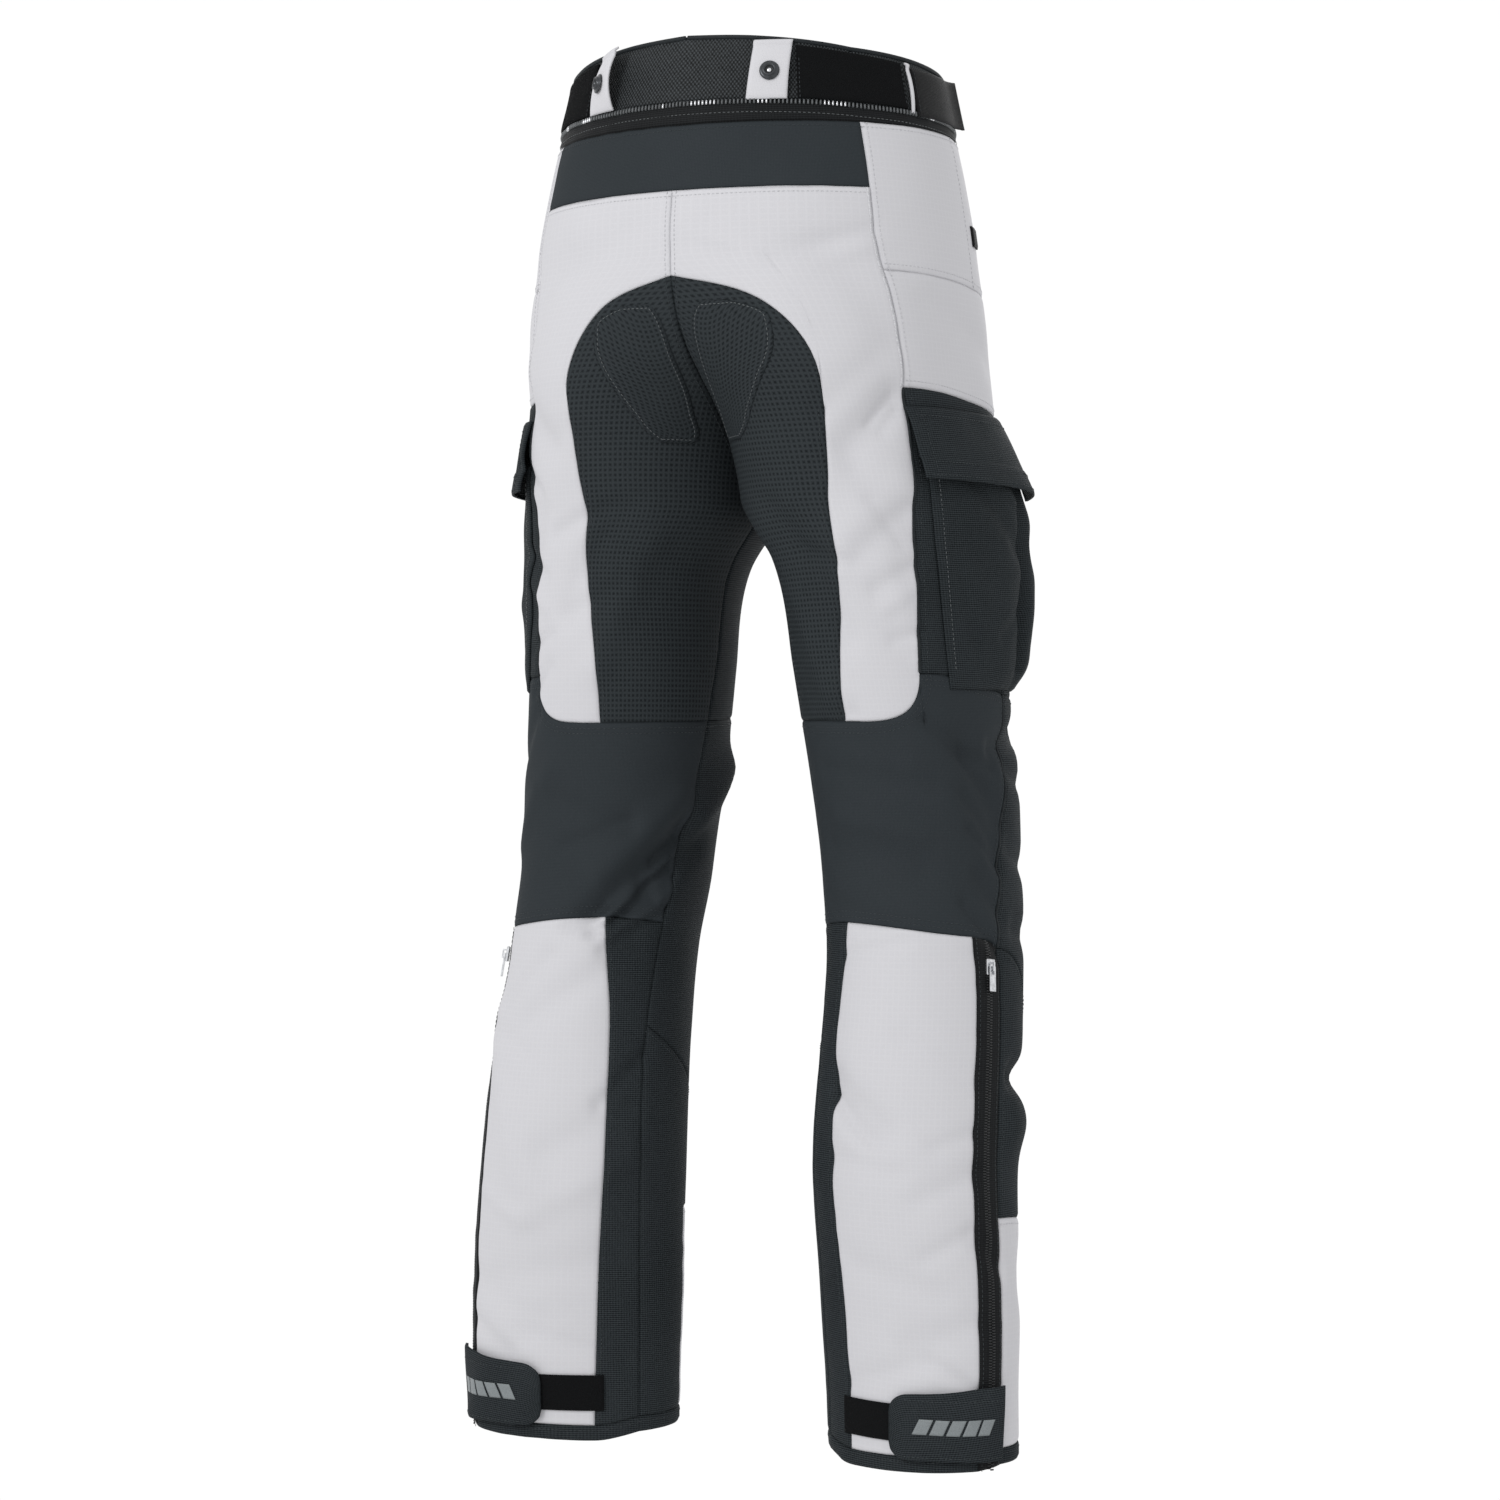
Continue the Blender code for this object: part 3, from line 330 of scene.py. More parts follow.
def crossHeight(name, column):
    # height of a cross seam, round where the seat arches and at the foot of the light stripe:
    # first + (second - first) * share, where the round part is 1 - (1 - way^along)^(1/down)
    row = crossSeams[name]
    column = np.asarray(column, float)
    height = curveThrough(column, crossPlaces, row)
    if name in roundCorners:
        start, alongPower, downPower, straight = roundCorners[name]
        way = np.clip(column - start, 0, 1)
        share = straight * way + (1 - straight) * (1 - (1 - way**alongPower) ** (1 / downPower))
        height = np.where((column > start) & (column < start + 1),
                          row[start] + (row[start + 1] - row[start]) * share, height)
    return height


def lineFold(across, down, toAcross, toDown, width):
    # exp(-(aside/width)^2 - (past end/width)^2) about the line from the origin to (toAcross, toDown)
    length = math.hypot(toAcross, toDown)
    run = (across*toAcross + down*toDown) / length
    aside = (across*toDown - down*toAcross) / length
    past = np.clip(np.abs(run - length/2) - length/2, 0, None)
    return np.exp(-((aside/width)**2) - (past/width)**2)


def foldField(folds, angle, height):
    # sum of the depth of each fold times its line's share
    angle, height = np.broadcast_arrays(angle, height)
    radius = drape["foldRadius"]
    total = np.zeros(angle.shape)
    for a, h, ta, th, width, depth in zip(*folds.values()):
        across = np.radians((angle - a + 180) % 360 - 180) * radius
        total += depth * lineFold(across, height - h, math.radians(ta - a) * radius, th - h, width)
    return total


def softNoise(points, size, seed):
    # random heights on a lattice, blended between corners with 3t^2 - 2t^3; from -1 to 1
    lattice = np.random.default_rng(seed).uniform(-1, 1, (64, 64, 64))
    place = points / size + 1000
    cell = np.floor(place).astype(int)
    t = place - cell
    t = t * t * (3 - 2*t)
    total = 0
    for corner in ((0, 0, 0), (0, 0, 1), (0, 1, 0), (0, 1, 1), (1, 0, 0), (1, 0, 1), (1, 1, 0), (1, 1, 1)):
        share = np.prod(np.where(np.array(corner) == 1, t, 1 - t), axis=-1)
        i = (cell + corner) % 64
        total = total + share * lattice[i[..., 0], i[..., 1], i[..., 2]]
    return total


def normalised(vectors):
    return vectors / np.maximum(np.linalg.norm(vectors, axis=-1, keepdims=True), 1e-12)


def seamDirections(angle, height, out):
    # on the seam between the two sides the outward direction lies in the middle plane
    start = riseAngle(height)
    onSeam = height >= wornForm["crotch"]
    rows, nudge = wornForm["sections"], 0.001
    for here, name, sign in ((onSeam & (angle <= start + 0.01), "back", 1),
                             (onSeam & (angle >= 180 - start - 0.01), "front", -1)):
        upper = riseDepth(height + nudge) * along(rows, name, height + nudge)
        lower = riseDepth(height - nudge) * along(rows, name, height - nudge)
        shift = along(rows, "middle", height + nudge) - along(rows, "middle", height - nudge)
        slope = (upper - lower + sign*shift) / (2*nudge)
        seam = normalised(np.stack([0*slope, sign + 0*slope, -slope], axis=-1))
        seam = np.where((height <= wornForm["crotch"])[..., None], np.array([0.0, 0.0, -1.0]), seam)
        out = np.where(here[..., None], seam, out)
    return out


def clothSurface(side, angle, height):
    # the worn form moved out by its folds, creases and slack; returns places and outward directions
    angle, height = np.broadcast_arrays(np.asarray(angle, float), np.asarray(height, float))
    nudge, turn = 0.0005, 1.0
    point = smoothPoint(side, angle, height)
    around = smoothPoint(side, angle + turn, height) - smoothPoint(side, angle - turn, height)
    up = smoothPoint(side, angle, height + nudge) - smoothPoint(side, angle, height - nudge)
    out = normalised(np.cross(up, around) * (1 if side == "left" else -1))
    out = seamDirections(angle, height, out)
    depth = foldField(mainFolds[side], angle, height)
    depth = depth + foldField(creases[side], angle, height) * drape["creaseDepth"]
    firm = np.clip((height + 0.030) / -0.05, 0, 1)   # the waistband hardly moves
    for number, (size, deep) in enumerate(zip(drape["slackSizes"], drape["slackDepths"])):
        depth = depth + softNoise(point * (1, 1, 0.75), size, 7 + number) * deep * firm
    fade = np.clip((np.abs(point[..., 0]) - 0.004) / 0.03, 0, 1)
    depth = depth * np.where(height > -0.33, fade, 1.0)
    return point + out * depth[..., None], out


def eased(count, ease):
    # shares of the way, closer together at both ends
    t = np.arange(count) / count
    return (1 - ease) * t + ease * (1 - np.cos(np.pi * t)) / 2


def runAlong(points, axis):
    # length walked over a grid of points along one of its axes
    steps = np.diff(points, axis=axis, prepend=np.take(points, [0], axis))
    return np.cumsum(np.linalg.norm(steps, axis=-1), axis=axis)


def makeGrid(side):
    # every row and column of one side's cloth
    long = clothGrid["long"]
    columns = [start + (end - start) * eased(count, clothGrid["easeLong"])
               for (start, count), (end, _) in zip(long, long[1:])]
    columns = np.concatenate(columns + [[4.0]])
    heights, starts, names = [], {}, list(crossSeams)
    for name, following in zip(names, names[1:]):
        starts[name] = sum(len(block) for block in heights)
        share = eased(clothGrid["cross"][name], clothGrid["easeCross"])[:, None]
        top, low = crossHeight(name, columns), crossHeight(following, columns)
        heights.append(top + (low - top) * share)
    starts["end"] = sum(len(block) for block in heights)
    heights = np.concatenate(heights + [crossHeight("end", columns)[None]])
    angles = columnAngle(side, np.broadcast_to(columns, heights.shape), heights)
    points, outs = clothSurface(side, angles, heights)
    onSeam = (heights >= wornForm["crotch"]) & ((columns == 0) | (columns == 4))
    points[..., 0] = np.where(onSeam, 0.0, points[..., 0])
    return {"columns": columns, "heights": heights, "angles": angles, "starts": starts, "points": points,
            "outs": outs, "acrossRun": runAlong(points, 1), "downRun": runAlong(points, 0)}


grids = {side: makeGrid(side) for side in sides}
print("cloth grid:", grids["left"]["points"].shape)


def seamShape(rimPoints, distance):
    # the edge rolls under by depth * (1 - smooth(d/reach)), and puckers fade as exp(-d/reach)
    t = np.clip(distance / drape["rollReach"], 0, 1)
    roll = -drape["rollDepth"] * (1 - t*t*(3 - 2*t))
    strength = 0.35 + np.abs(softNoise(rimPoints, drape["puckerPatches"], 21))
    pucker = softNoise(rimPoints, drape["puckerPitch"], 22) * drape["puckerDepth"] * strength
    return roll + pucker * np.exp(-distance / drape["puckerReach"])


def rimOf(faces, count):
    # points on the edges that only one face uses
    a, b = faces.ravel(), np.roll(faces, -1, axis=1).ravel()
    alone = ~np.isin(a*count + b, b*count + a)
    return np.unique(np.concatenate([a[alone], b[alone]]))


def nearestRim(points, rimPoints):
    # distance to the nearest rim point and which one it is, a batch of points at a time
    distance, which = np.zeros(len(points)), np.zeros(len(points), int)
    for start in range(0, len(points), 2000):
        batch = slice(start, start + 2000)
        gap = np.linalg.norm(points[batch, None] - rimPoints[None], axis=-1)
        which[batch] = gap.argmin(1)
        distance[batch] = gap.min(1)
    return distance, which


def addItem(name, data):
    item = bpy.data.objects.new(name, data)
    bpy.context.scene.collection.objects.link(item)
    return item


def makeMesh(name, points, faces, uv=None, edge=None, smooth=True):
    # faces is an array of quads or of triangles; uv has one pair for each face corner
    mesh = bpy.data.meshes.new(name)
    size = faces.shape[1]
    mesh.vertices.add(len(points))
    mesh.vertices.foreach_set("co", np.asarray(points, np.float32).ravel())
    mesh.loops.add(faces.size)
    mesh.loops.foreach_set("vertex_index", faces.astype(np.int32).ravel())
    mesh.polygons.add(len(faces))
    mesh.polygons.foreach_set("loop_start", np.arange(0, faces.size, size, dtype=np.int32))
    mesh.update(calc_edges=True)
    mesh.polygons.foreach_set("use_smooth", np.full(len(faces), smooth))
    if uv is not None:
        mesh.uv_layers.new(name="cloth").data.foreach_set("uv", np.asarray(uv, np.float32).ravel())
    if edge is not None:
        mesh.attributes.new("edge", "FLOAT", "POINT").data.foreach_set("value", np.asarray(edge, np.float32))
    mesh.validate()
    return addItem(name, mesh)


def thicken(item, thickness):
    # the wall grows inwards from the outer face
    wall = item.modifiers.new("wall", "SOLIDIFY")
    wall.thickness = thickness
    wall.offset = -1


def dress(item, look, node=None):
    # material, body, and the CAD node that it stands for, which it hides
    item.data.materials.append(looks[look])
    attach(item, "trousers")
    if node:
        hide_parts(node)
    return item


def faceArea(points, faces):
    # half the cross product of each quad's diagonals
    a, b, c, d = (points[faces[:, i]] for i in range(4))
    return 0.5 * np.linalg.norm(np.cross(c - a, d - b), axis=-1).sum()


def shaderNode(tree, kind, settings=None, **inputs):
    # one node, with its settings, its input values and its links
    made = tree.nodes.new("ShaderNode" + kind)
    for name, value in (settings or {}).items():
        setattr(made, name, value)
    for name, value in inputs.items():
        numbered = name[0] == "i" and name[1:].isdigit()
        socket = made.inputs[int(name[1:]) if numbered else name]
        if isinstance(value, bpy.types.NodeSocket):
            tree.links.new(value, socket)
        else:
            socket.default_value = value
    return made


def calc(tree, operation, a, b=0.0):
    return shaderNode(tree, "Math", {"operation": operation}, i0=a, i1=b).outputs[0]


def ridge(tree, place, pitch, sharpness):
    # thread line at every pitch: |cos(pi x / pitch)| ^ sharpness
    wave = calc(tree, "COSINE", calc(tree, "MULTIPLY", place, math.pi / pitch))
    return calc(tree, "POWER", calc(tree, "ABSOLUTE", wave), sharpness)


weaves = {
    # metres from thread to thread
    "grid": (0.0042, 0.0039),
    "gridFine": 0.0010,
    "ripstop": 0.0046,
    "ripstopFine": 0.0009,
    "rib": (0.0022, 0.0016),
    "mesh": 0.0028,
    "meshSlant": 0.75,
    "webbing": (0.0016, 0.0012),
    "plain": 0.0011,
    # scales of the soft patches and of the uneven thread, and the share of each
    "patches": (14.0, 3.0, 0.5),
    "slub": (900.0, 2.0, 1.1),
}


def weaveHeight(tree, kind, u, v):
    # height of each cloth's threads, from 0 to about 1, which also shows as colour: painted shade in the
    # hollows and painted highlight on the thread tops
    def add(a, b):
        return calc(tree, "ADD", a, b)

    def times(a, b):
        return calc(tree, "MULTIPLY", a, b)

    def crossed(pitch, sharpness=1, down=None):
        return ridge(tree, u, pitch, sharpness), ridge(tree, v, down or pitch, sharpness)

    if kind == "grid":      # square grid of thick threads with pits between
        across, down = weaves["grid"]
        thick = calc(tree, "MAXIMUM", *crossed(across, 2, down))
        return add(thick, times(times(*crossed(weaves["gridFine"])), 0.25))
    if kind == "ripstop":   # fine plain cloth with a heavier thread now and then
        heavy = calc(tree, "MAXIMUM", *crossed(weaves["ripstop"], 14))
        return add(times(heavy, 0.45), times(times(*crossed(weaves["ripstopFine"])), 0.35))
    if kind == "rib":       # coarse cloth with ribs across
        across, down = weaves["rib"]
        step = calc(tree, "SINE", times(u, math.tau / across))
        return add(ridge(tree, v, down, 1.2), times(step, 0.20))
    if kind == "mesh":      # slanted cells of the spacer mesh
        slant = times(v, weaves["meshSlant"])
        a = ridge(tree, add(u, slant), weaves["mesh"], 2)
        b = ridge(tree, calc(tree, "SUBTRACT", u, slant), weaves["mesh"], 2)
        return add(times(calc(tree, "MAXIMUM", a, b), 0.25), times(times(a, b), 0.9))
    if kind == "webbing":   # flat woven strap
        across, down = weaves["webbing"]
        return times(*crossed(across, 1, down))
    return times(*crossed(weaves["plain"]))


clothLooks = {
    # name: weave, colour of the hollows with painted shade, colour of the threads with painted highlight,
    # roughness, sheen, gloss, bump depth in metres
    "lightNylon": ("ripstop", (0.485, 0.483, 0.505), (0.520, 0.518, 0.540), 0.62, 0.03, 0.20, 0.00006),
    "lightBand": ("plain", (0.500, 0.498, 0.520), (0.540, 0.538, 0.560), 0.66, 0.03, 0.20, 0.00006),
    "darkGrid": ("grid", (0.0075, 0.0092, 0.0105), (0.0270, 0.0320, 0.0350), 0.66, 0.0, 0.04, 0.00030),
    "darkRib": ("rib", (0.0052, 0.0068, 0.0078), (0.0310, 0.0365, 0.0400), 0.68, 0.0, 0.04, 0.00026),
    "darkStretch": ("plain", (0.0225, 0.0270, 0.0305), (0.0310, 0.0360, 0.0400), 0.66, 0.0, 0.03, 0.00005),
    "waistMesh": ("mesh", (0.0015, 0.0018, 0.0020), (0.050, 0.056, 0.060), 0.50, 0.02, 0.10, 0.00045),
    "webbing": ("webbing", (0.0022, 0.0024, 0.0028), (0.0075, 0.0080, 0.0088), 0.60, 0.03, 0.10, 0.00025),
    "tape": ("rib", (0.0025, 0.0028, 0.0032), (0.0095, 0.0105, 0.0115), 0.65, 0.03, 0.10, 0.00015),
}


def clothLook(name):
    # woven cloth: thread heights give the bump, and in the colour the hollows carry painted shade and the
    # tops a painted highlight; soft patches vary the colour
    kind, shadedHollow, litThreadTop, roughness, sheen, gloss, deep = clothLooks[name]
    look = bpy.data.materials.new(name)
    look.use_nodes = True
    tree = look.node_tree
    shader = tree.nodes["Principled BSDF"]
    place = shaderNode(tree, "UVMap", {"uv_map": "cloth"}).outputs[0]
    split = shaderNode(tree, "SeparateXYZ", i0=place)
    u, v = split.outputs[0], split.outputs[1]
    body = shaderNode(tree, "TexCoord").outputs["Object"]
    mixed = weaveHeight(tree, kind, u, v)
    for layer in ("slub", "patches"):
        scale, detail, part = weaves[layer]
        noise = shaderNode(tree, "TexNoise", Vector=body, Scale=scale, Detail=detail).outputs[0]
        uneven = calc(tree, "MULTIPLY", calc(tree, "SUBTRACT", noise, 0.5), part)
        mixed = calc(tree, "ADD", mixed, uneven)
    # the thread height picks the colour: painted shade in the hollows, painted highlight on the tops
    colour = shaderNode(tree, "Mix", {"data_type": "RGBA", "clamp_factor": True})
    colour.inputs[6].default_value = (*shadedHollow, 1)
    colour.inputs[7].default_value = (*litThreadTop, 1)
    tree.links.new(mixed, colour.inputs[0])
    tree.links.new(colour.outputs[2], shader.inputs["Base Color"])
    bump = shaderNode(tree, "Bump", Strength=1.0, Distance=deep, Height=mixed)
    tree.links.new(bump.outputs[0], shader.inputs["Normal"])
    shader.inputs["Roughness"].default_value = roughness
    shader.inputs["Sheen Weight"].default_value = sheen
    shader.inputs["Sheen Roughness"].default_value = 0.5
    shader.inputs["Specular IOR Level"].default_value = gloss
    return look


plainLooks = {
    # name: colour, roughness, metallic, depth of the grain in metres, scale of the grain, gloss
    "pile": ((0.0062, 0.0065, 0.0070), 0.95, 0.0, 0.0012, 1400.0, 0.05),
    "piping": ((0.012, 0.015, 0.017), 0.55, 0.0, 0.0001, 300.0, 0.15),
    "darkThread": ((0.040, 0.046, 0.050), 0.55, 0.0, 0.0001, 900.0, 0.15),
    "greyThread": ((0.110, 0.118, 0.122), 0.55, 0.0, 0.0001, 900.0, 0.3),
    "lightThread": ((0.47, 0.47, 0.49), 0.6, 0.0, 0.0001, 900.0, 0.3),
    "silver": ((0.62, 0.63, 0.65), 0.28, 1.0, 0.00003, 500.0, 0.3),
    "gunmetal": ((0.045, 0.048, 0.052), 0.30, 0.6, 0.00003, 300.0, 0.3),
    "teeth": ((0.070, 0.076, 0.080), 0.35, 0.0, 0.00003, 300.0, 0.5),
    "blackTeeth": ((0.010, 0.011, 0.012), 0.40, 0.0, 0.00003, 300.0, 0.4),
    "reflective": ((0.175, 0.193, 0.200), 0.45, 0.0, 0.00006, 1800.0, 0.3),
    "pale floor": ((0.86, 0.86, 0.86), 0.9, 0.0, 0.0001, 300.0, 0.05),
}


def plainLook(name):
    # one finish with a fine grain in its bump and a little wear in its colour
    colour, roughness, metallic, grain, grainScale, gloss = plainLooks[name]
    look = bpy.data.materials.new(name)
    look.use_nodes = True
    tree = look.node_tree
    shader = tree.nodes["Principled BSDF"]
    body = shaderNode(tree, "TexCoord").outputs["Object"]
    noise = shaderNode(tree, "TexNoise", Vector=body, Scale=grainScale, Detail=3.0).outputs[0]
    shade = shaderNode(tree, "ValToRGB", i0=noise)
    for stop, place, strength in zip(shade.color_ramp.elements, (0.3, 0.7), (0.75, 1.2)):
        stop.position = place
        stop.color = (*[min(c * strength, 1) for c in colour], 1)
    tree.links.new(shade.outputs[0], shader.inputs["Base Color"])
    bump = shaderNode(tree, "Bump", Strength=1.0, Distance=grain, Height=noise)
    tree.links.new(bump.outputs[0], shader.inputs["Normal"])
    shader.inputs["Roughness"].default_value = roughness
    shader.inputs["Metallic"].default_value = metallic
    shader.inputs["Specular IOR Level"].default_value = gloss
    return look


looks = {name: clothLook(name) for name in clothLooks}
looks.update({name: plainLook(name) for name in plainLooks})
print("looks made:", len(looks))

panels = {
    # name: cloth, and blocks of the grid as cross seam above, cross seam below, first and last column
    "waistband_front": ("waistMesh", (("top", "zip", 2, 4),)),
    "hip_upper": ("lightNylon", (("body", "hip", 2, 3.8),)),
    "hip_lower": ("lightNylon", (("hip", "flap", 2, 4),)),
    "back_panel": ("lightNylon", (("yoke", "hip", 0, 2), ("hip", "thigh", 1, 2))),
    "seat_panel": ("darkGrid", (("hip", "thigh", 0, 1),)),
    "pocket_side": ("darkRib", (("flap", "thigh", 2, 3),)),
    "front_thigh": ("darkRib", (("flap", "thigh", 3, 4),)),
    "knee_back": ("darkStretch", (("thigh", "knee", 0, 3),)),
    "knee_front": ("darkRib", (("thigh", "knee", 3, 4),)),
    "calf": ("lightNylon", (("knee", "hem", 1, 2),)),
    "inner_leg": ("darkRib", (("knee", "hem", 0, 1),)),
    "side_zip": ("tape", (("knee", "end", 2, 3),)),
    "shin_upper": ("darkRib", (("knee", "shin", 3, 4), ("shin", "hem", 3.8, 4))),
    "shin_lower": ("lightNylon", (("shin", "hem", 3, 3.8),)),
    "hem_band": ("darkRib", (("hem", "end", 0, 2), ("hem", "end", 3, 4))),
}
middlePanels = {
    "waistband_mesh": ("waistMesh", (("top", "zip", 0, 2),)),
    "waist_zip": ("tape", (("zip", "body", 0, 4),)),
    "yoke": ("darkStretch", (("body", "yoke", 0, 2),)),
    "fly": ("lightNylon", (("body", "hip", 3.8, 4),)),
}


def panelCells(grid, blocks):
    # rows and columns of the cells in a panel's blocks
    columns, cells = grid["columns"], []
    for upper, lower, start, end in blocks:
        rows = np.arange(grid["starts"][upper], grid["starts"][lower])
        across = np.nonzero((columns > start - 1e-9) & (columns < end - 1e-9))[0]
        cells.append(np.stack(np.meshgrid(rows, across, indexing="ij"), -1).reshape(-1, 2))
    return np.concatenate(cells)


def makePanel(name, cloth, blocks, madeOf):
    # cloth over its cells, with rolled edges and puckers; the grain runs straight down:
    # u = angle * radius of the middle row, v = height
    points, outs, uvs, faces, base = [], [], [], [], 0
    wide, long = 0.0, 0.0
    for side in madeOf:
        grid = grids[side]
        rows, across = panelCells(grid, blocks).T
        count = grid["points"].shape[1]
        corners = np.stack([rows*count + across, (rows + 1)*count + across,
                            (rows + 1)*count + across + 1, rows*count + across + 1], -1)
        if side == "left":
            corners = corners[:, ::-1]
        used, index = np.unique(corners, return_inverse=True)
        index = index.reshape(corners.shape)
        first, last, middle = across.min(), across.max() + 1, (rows.min() + rows.max()) // 2
        radius = ((grid["acrossRun"][middle, last] - grid["acrossRun"][middle, first])
                  / np.radians(grid["angles"][middle, last] - grid["angles"][middle, first]))
        u = np.radians(grid["angles"]) * radius * (-1 if side == "left" else 1)
        uvs.append(np.stack([u.ravel()[corners], grid["heights"].ravel()[corners]], -1).reshape(-1, 2))
        points.append(grid["points"].reshape(-1, 3)[used])
        outs.append(grid["outs"].reshape(-1, 3)[used])
        faces.append(index + base)
        base += len(used)
        wide += np.ptp((grid["acrossRun"] - grid["acrossRun"][:, [first]]).ravel()[used])
        long = max(long, np.ptp((grid["downRun"] - grid["downRun"][rows.min()]).ravel()[used]))
    points, outs, faces = np.concatenate(points), np.concatenate(outs), np.concatenate(faces)
    _, keep, merged = np.unique(np.round(points, 6), axis=0, return_index=True, return_inverse=True)
    points, outs, faces = points[keep], outs[keep], merged.ravel()[faces]
    rim = rimOf(faces, len(points))
    distance, which = nearestRim(points, points[rim])
    points = points + outs * seamShape(points[rim][which], distance)[:, None]
    item = makeMesh("cloth_" + name, points, faces, np.concatenate(uvs), distance)
    thicken(item, drape["thickness"])
    area = min(faceArea(points, faces), wide*long)
    area = max(area, laid["leastShare"] * wide * long)
    return dress(item, cloth, name)


laid = {    # cloth laid on the panels
    "clear": 0.0004,         # space under it
    "rollReach": 0.0022,
    "roll": 0.0008,
    "softSize": 0.022,
    "softReach": 0.006,
    "softSeed": 3,
    "leastFlat": 0.0101,
    "leastShare": 0.3,
}

for name, (cloth, blocks) in middlePanels.items():
    makePanel(name, cloth, blocks, sides)
for name, (cloth, blocks) in panels.items():
    for side in sides:
        makePanel(name + "_" + side, cloth, blocks, (side,))
print("panels made")


def bandLine(name, angle):
    # height of the waistband's top or foot at an angle
    return curveThrough(np.abs(angle), (0, 24, 53, 117, 148, 180), crossSeams[name])


def layPiece(stem, look, node, side, angles, heights, lift, thickness, soft=0.0, roll=None, number=None):
    # cloth laid on the panels: surface + outward * (lift + thickness), its own edges rolled a little
    points, outs = clothSurface(side, angles, heights)
    rows, columns = points.shape[:2]
    lift = np.broadcast_to(lift, (rows, columns))[..., None]
    points = points + outs * (lift + thickness)
    across, down = runAlong(points, 1), runAlong(points, 0)
    points, outs = points.reshape(-1, 3), outs.reshape(-1, 3)
    corner = (np.arange(rows - 1)[:, None] * columns + np.arange(columns - 1)).ravel()
    faces = np.stack([corner, corner + columns, corner + columns + 1, corner + 1], -1)
    if side == "left":
        faces = faces[:, ::-1]
    rim = rimOf(faces, len(points))
    distance, which = nearestRim(points, points[rim])
    t = np.clip(distance / laid["rollReach"], 0, 1)
    wave = soft * softNoise(points, laid["softSize"], laid["softSeed"])
    wave = wave * np.clip(distance / laid["softReach"], 0.25, 1)
    move = wave - (roll or laid["roll"]) * (1 - t*t*(3 - 2*t))
    points = points + outs * move[:, None]
    sign = -1 if side == "left" else 1
    uv = np.stack([(across * sign).ravel()[faces], -down.ravel()[faces]], -1).reshape(-1, 2)
    name = f"{stem}_{side}" if number is None else f"{stem}_{side}_{number}"
    item = makeMesh(name, points, faces, uv, distance)
    thicken(item, thickness)
    if not node:
        return dress(item, look)
    return dress(item, look, f"{node}_{side}")


def strip(start, end, low, high, columns, rows):
    # angles and heights of a strip, top row first; low and high may be lines along the angle
    angle = np.linspace(start, end, columns)
    low, high = (line(angle) if callable(line) else line + 0*angle for line in (low, high))
    share = np.linspace(0, 1, rows)[:, None]
    return np.broadcast_to(angle, (rows, columns)), high + (low - high) * share


seatPad = {
    "outline": table("height start end", (-0.150, 0.24, 0.42), (-0.156, 0.18, 0.62), (-0.164, 0.14, 0.73),
                     (-0.185, 0.12, 0.72), (-0.208, 0.13, 0.65), (-0.228, 0.17, 0.58), (-0.246, 0.21, 0.50),
                     (-0.251, 0.26, 0.45)),
    "lift": 0.0002,
    "thickness": 0.0010,
    "soft": 0.0004,
    "roll": 0.0010,
    "stitchIn": 0.035,
}
waistTrims = {
    "pad": (34, 72),
    "padThickness": 0.0020,
    "padSoft": 0.0005,
    "strap": (76, 112, -0.008, 0.029),
    "strapThickness": 0.0022,
    "tip": (101, 112, 0.007),
    "loopBack": (20, 32, 0.000, 0.046, 0.0045),
    "loopLean": {"left": -2.4, "right": 2.2},    # degrees that the top stands past the foot
    "loopTurn": {"left": 24.0, "right": 0.0},    # degrees that it is twisted off the band
    "loopRadius": 0.125,
    "loopThickness": 0.0016,
    "loopPinch": 0.04,
    "loopHook": (0.06, 0.05, 0.0022),            # place, width in shares, and depth
    "loopSide": (73.5, 74.9, -0.006, 0.033, 0.0030),
    "studAngle": 26,
    "studHeight": 0.020,
    "studRings": (0.0021, 0.0040),               # reach of the silver eye and of the black ring
}
hemTrims = {
    "pad": (-22, 30, -1.000, -0.972),
    "padThickness": 0.0020,
    "strap": (10, 82, -1.0125, -0.9645),
    "strapThickness": 0.0022,
    "strapOff": 0.0028,
    "strapWave": 0.0010,
    "radius": 0.072,
    "round": 0.013,
    "rise": 0.0080,      # how far its upper edge climbs along it
    "bar": (24, 72, -0.9925, -0.9810),
    "barLift": 0.0026,
    "barThickness": 0.0003,
    "barPieces": 5,
    "barGap": 1.6,
    "barSlant": 4.0,
}
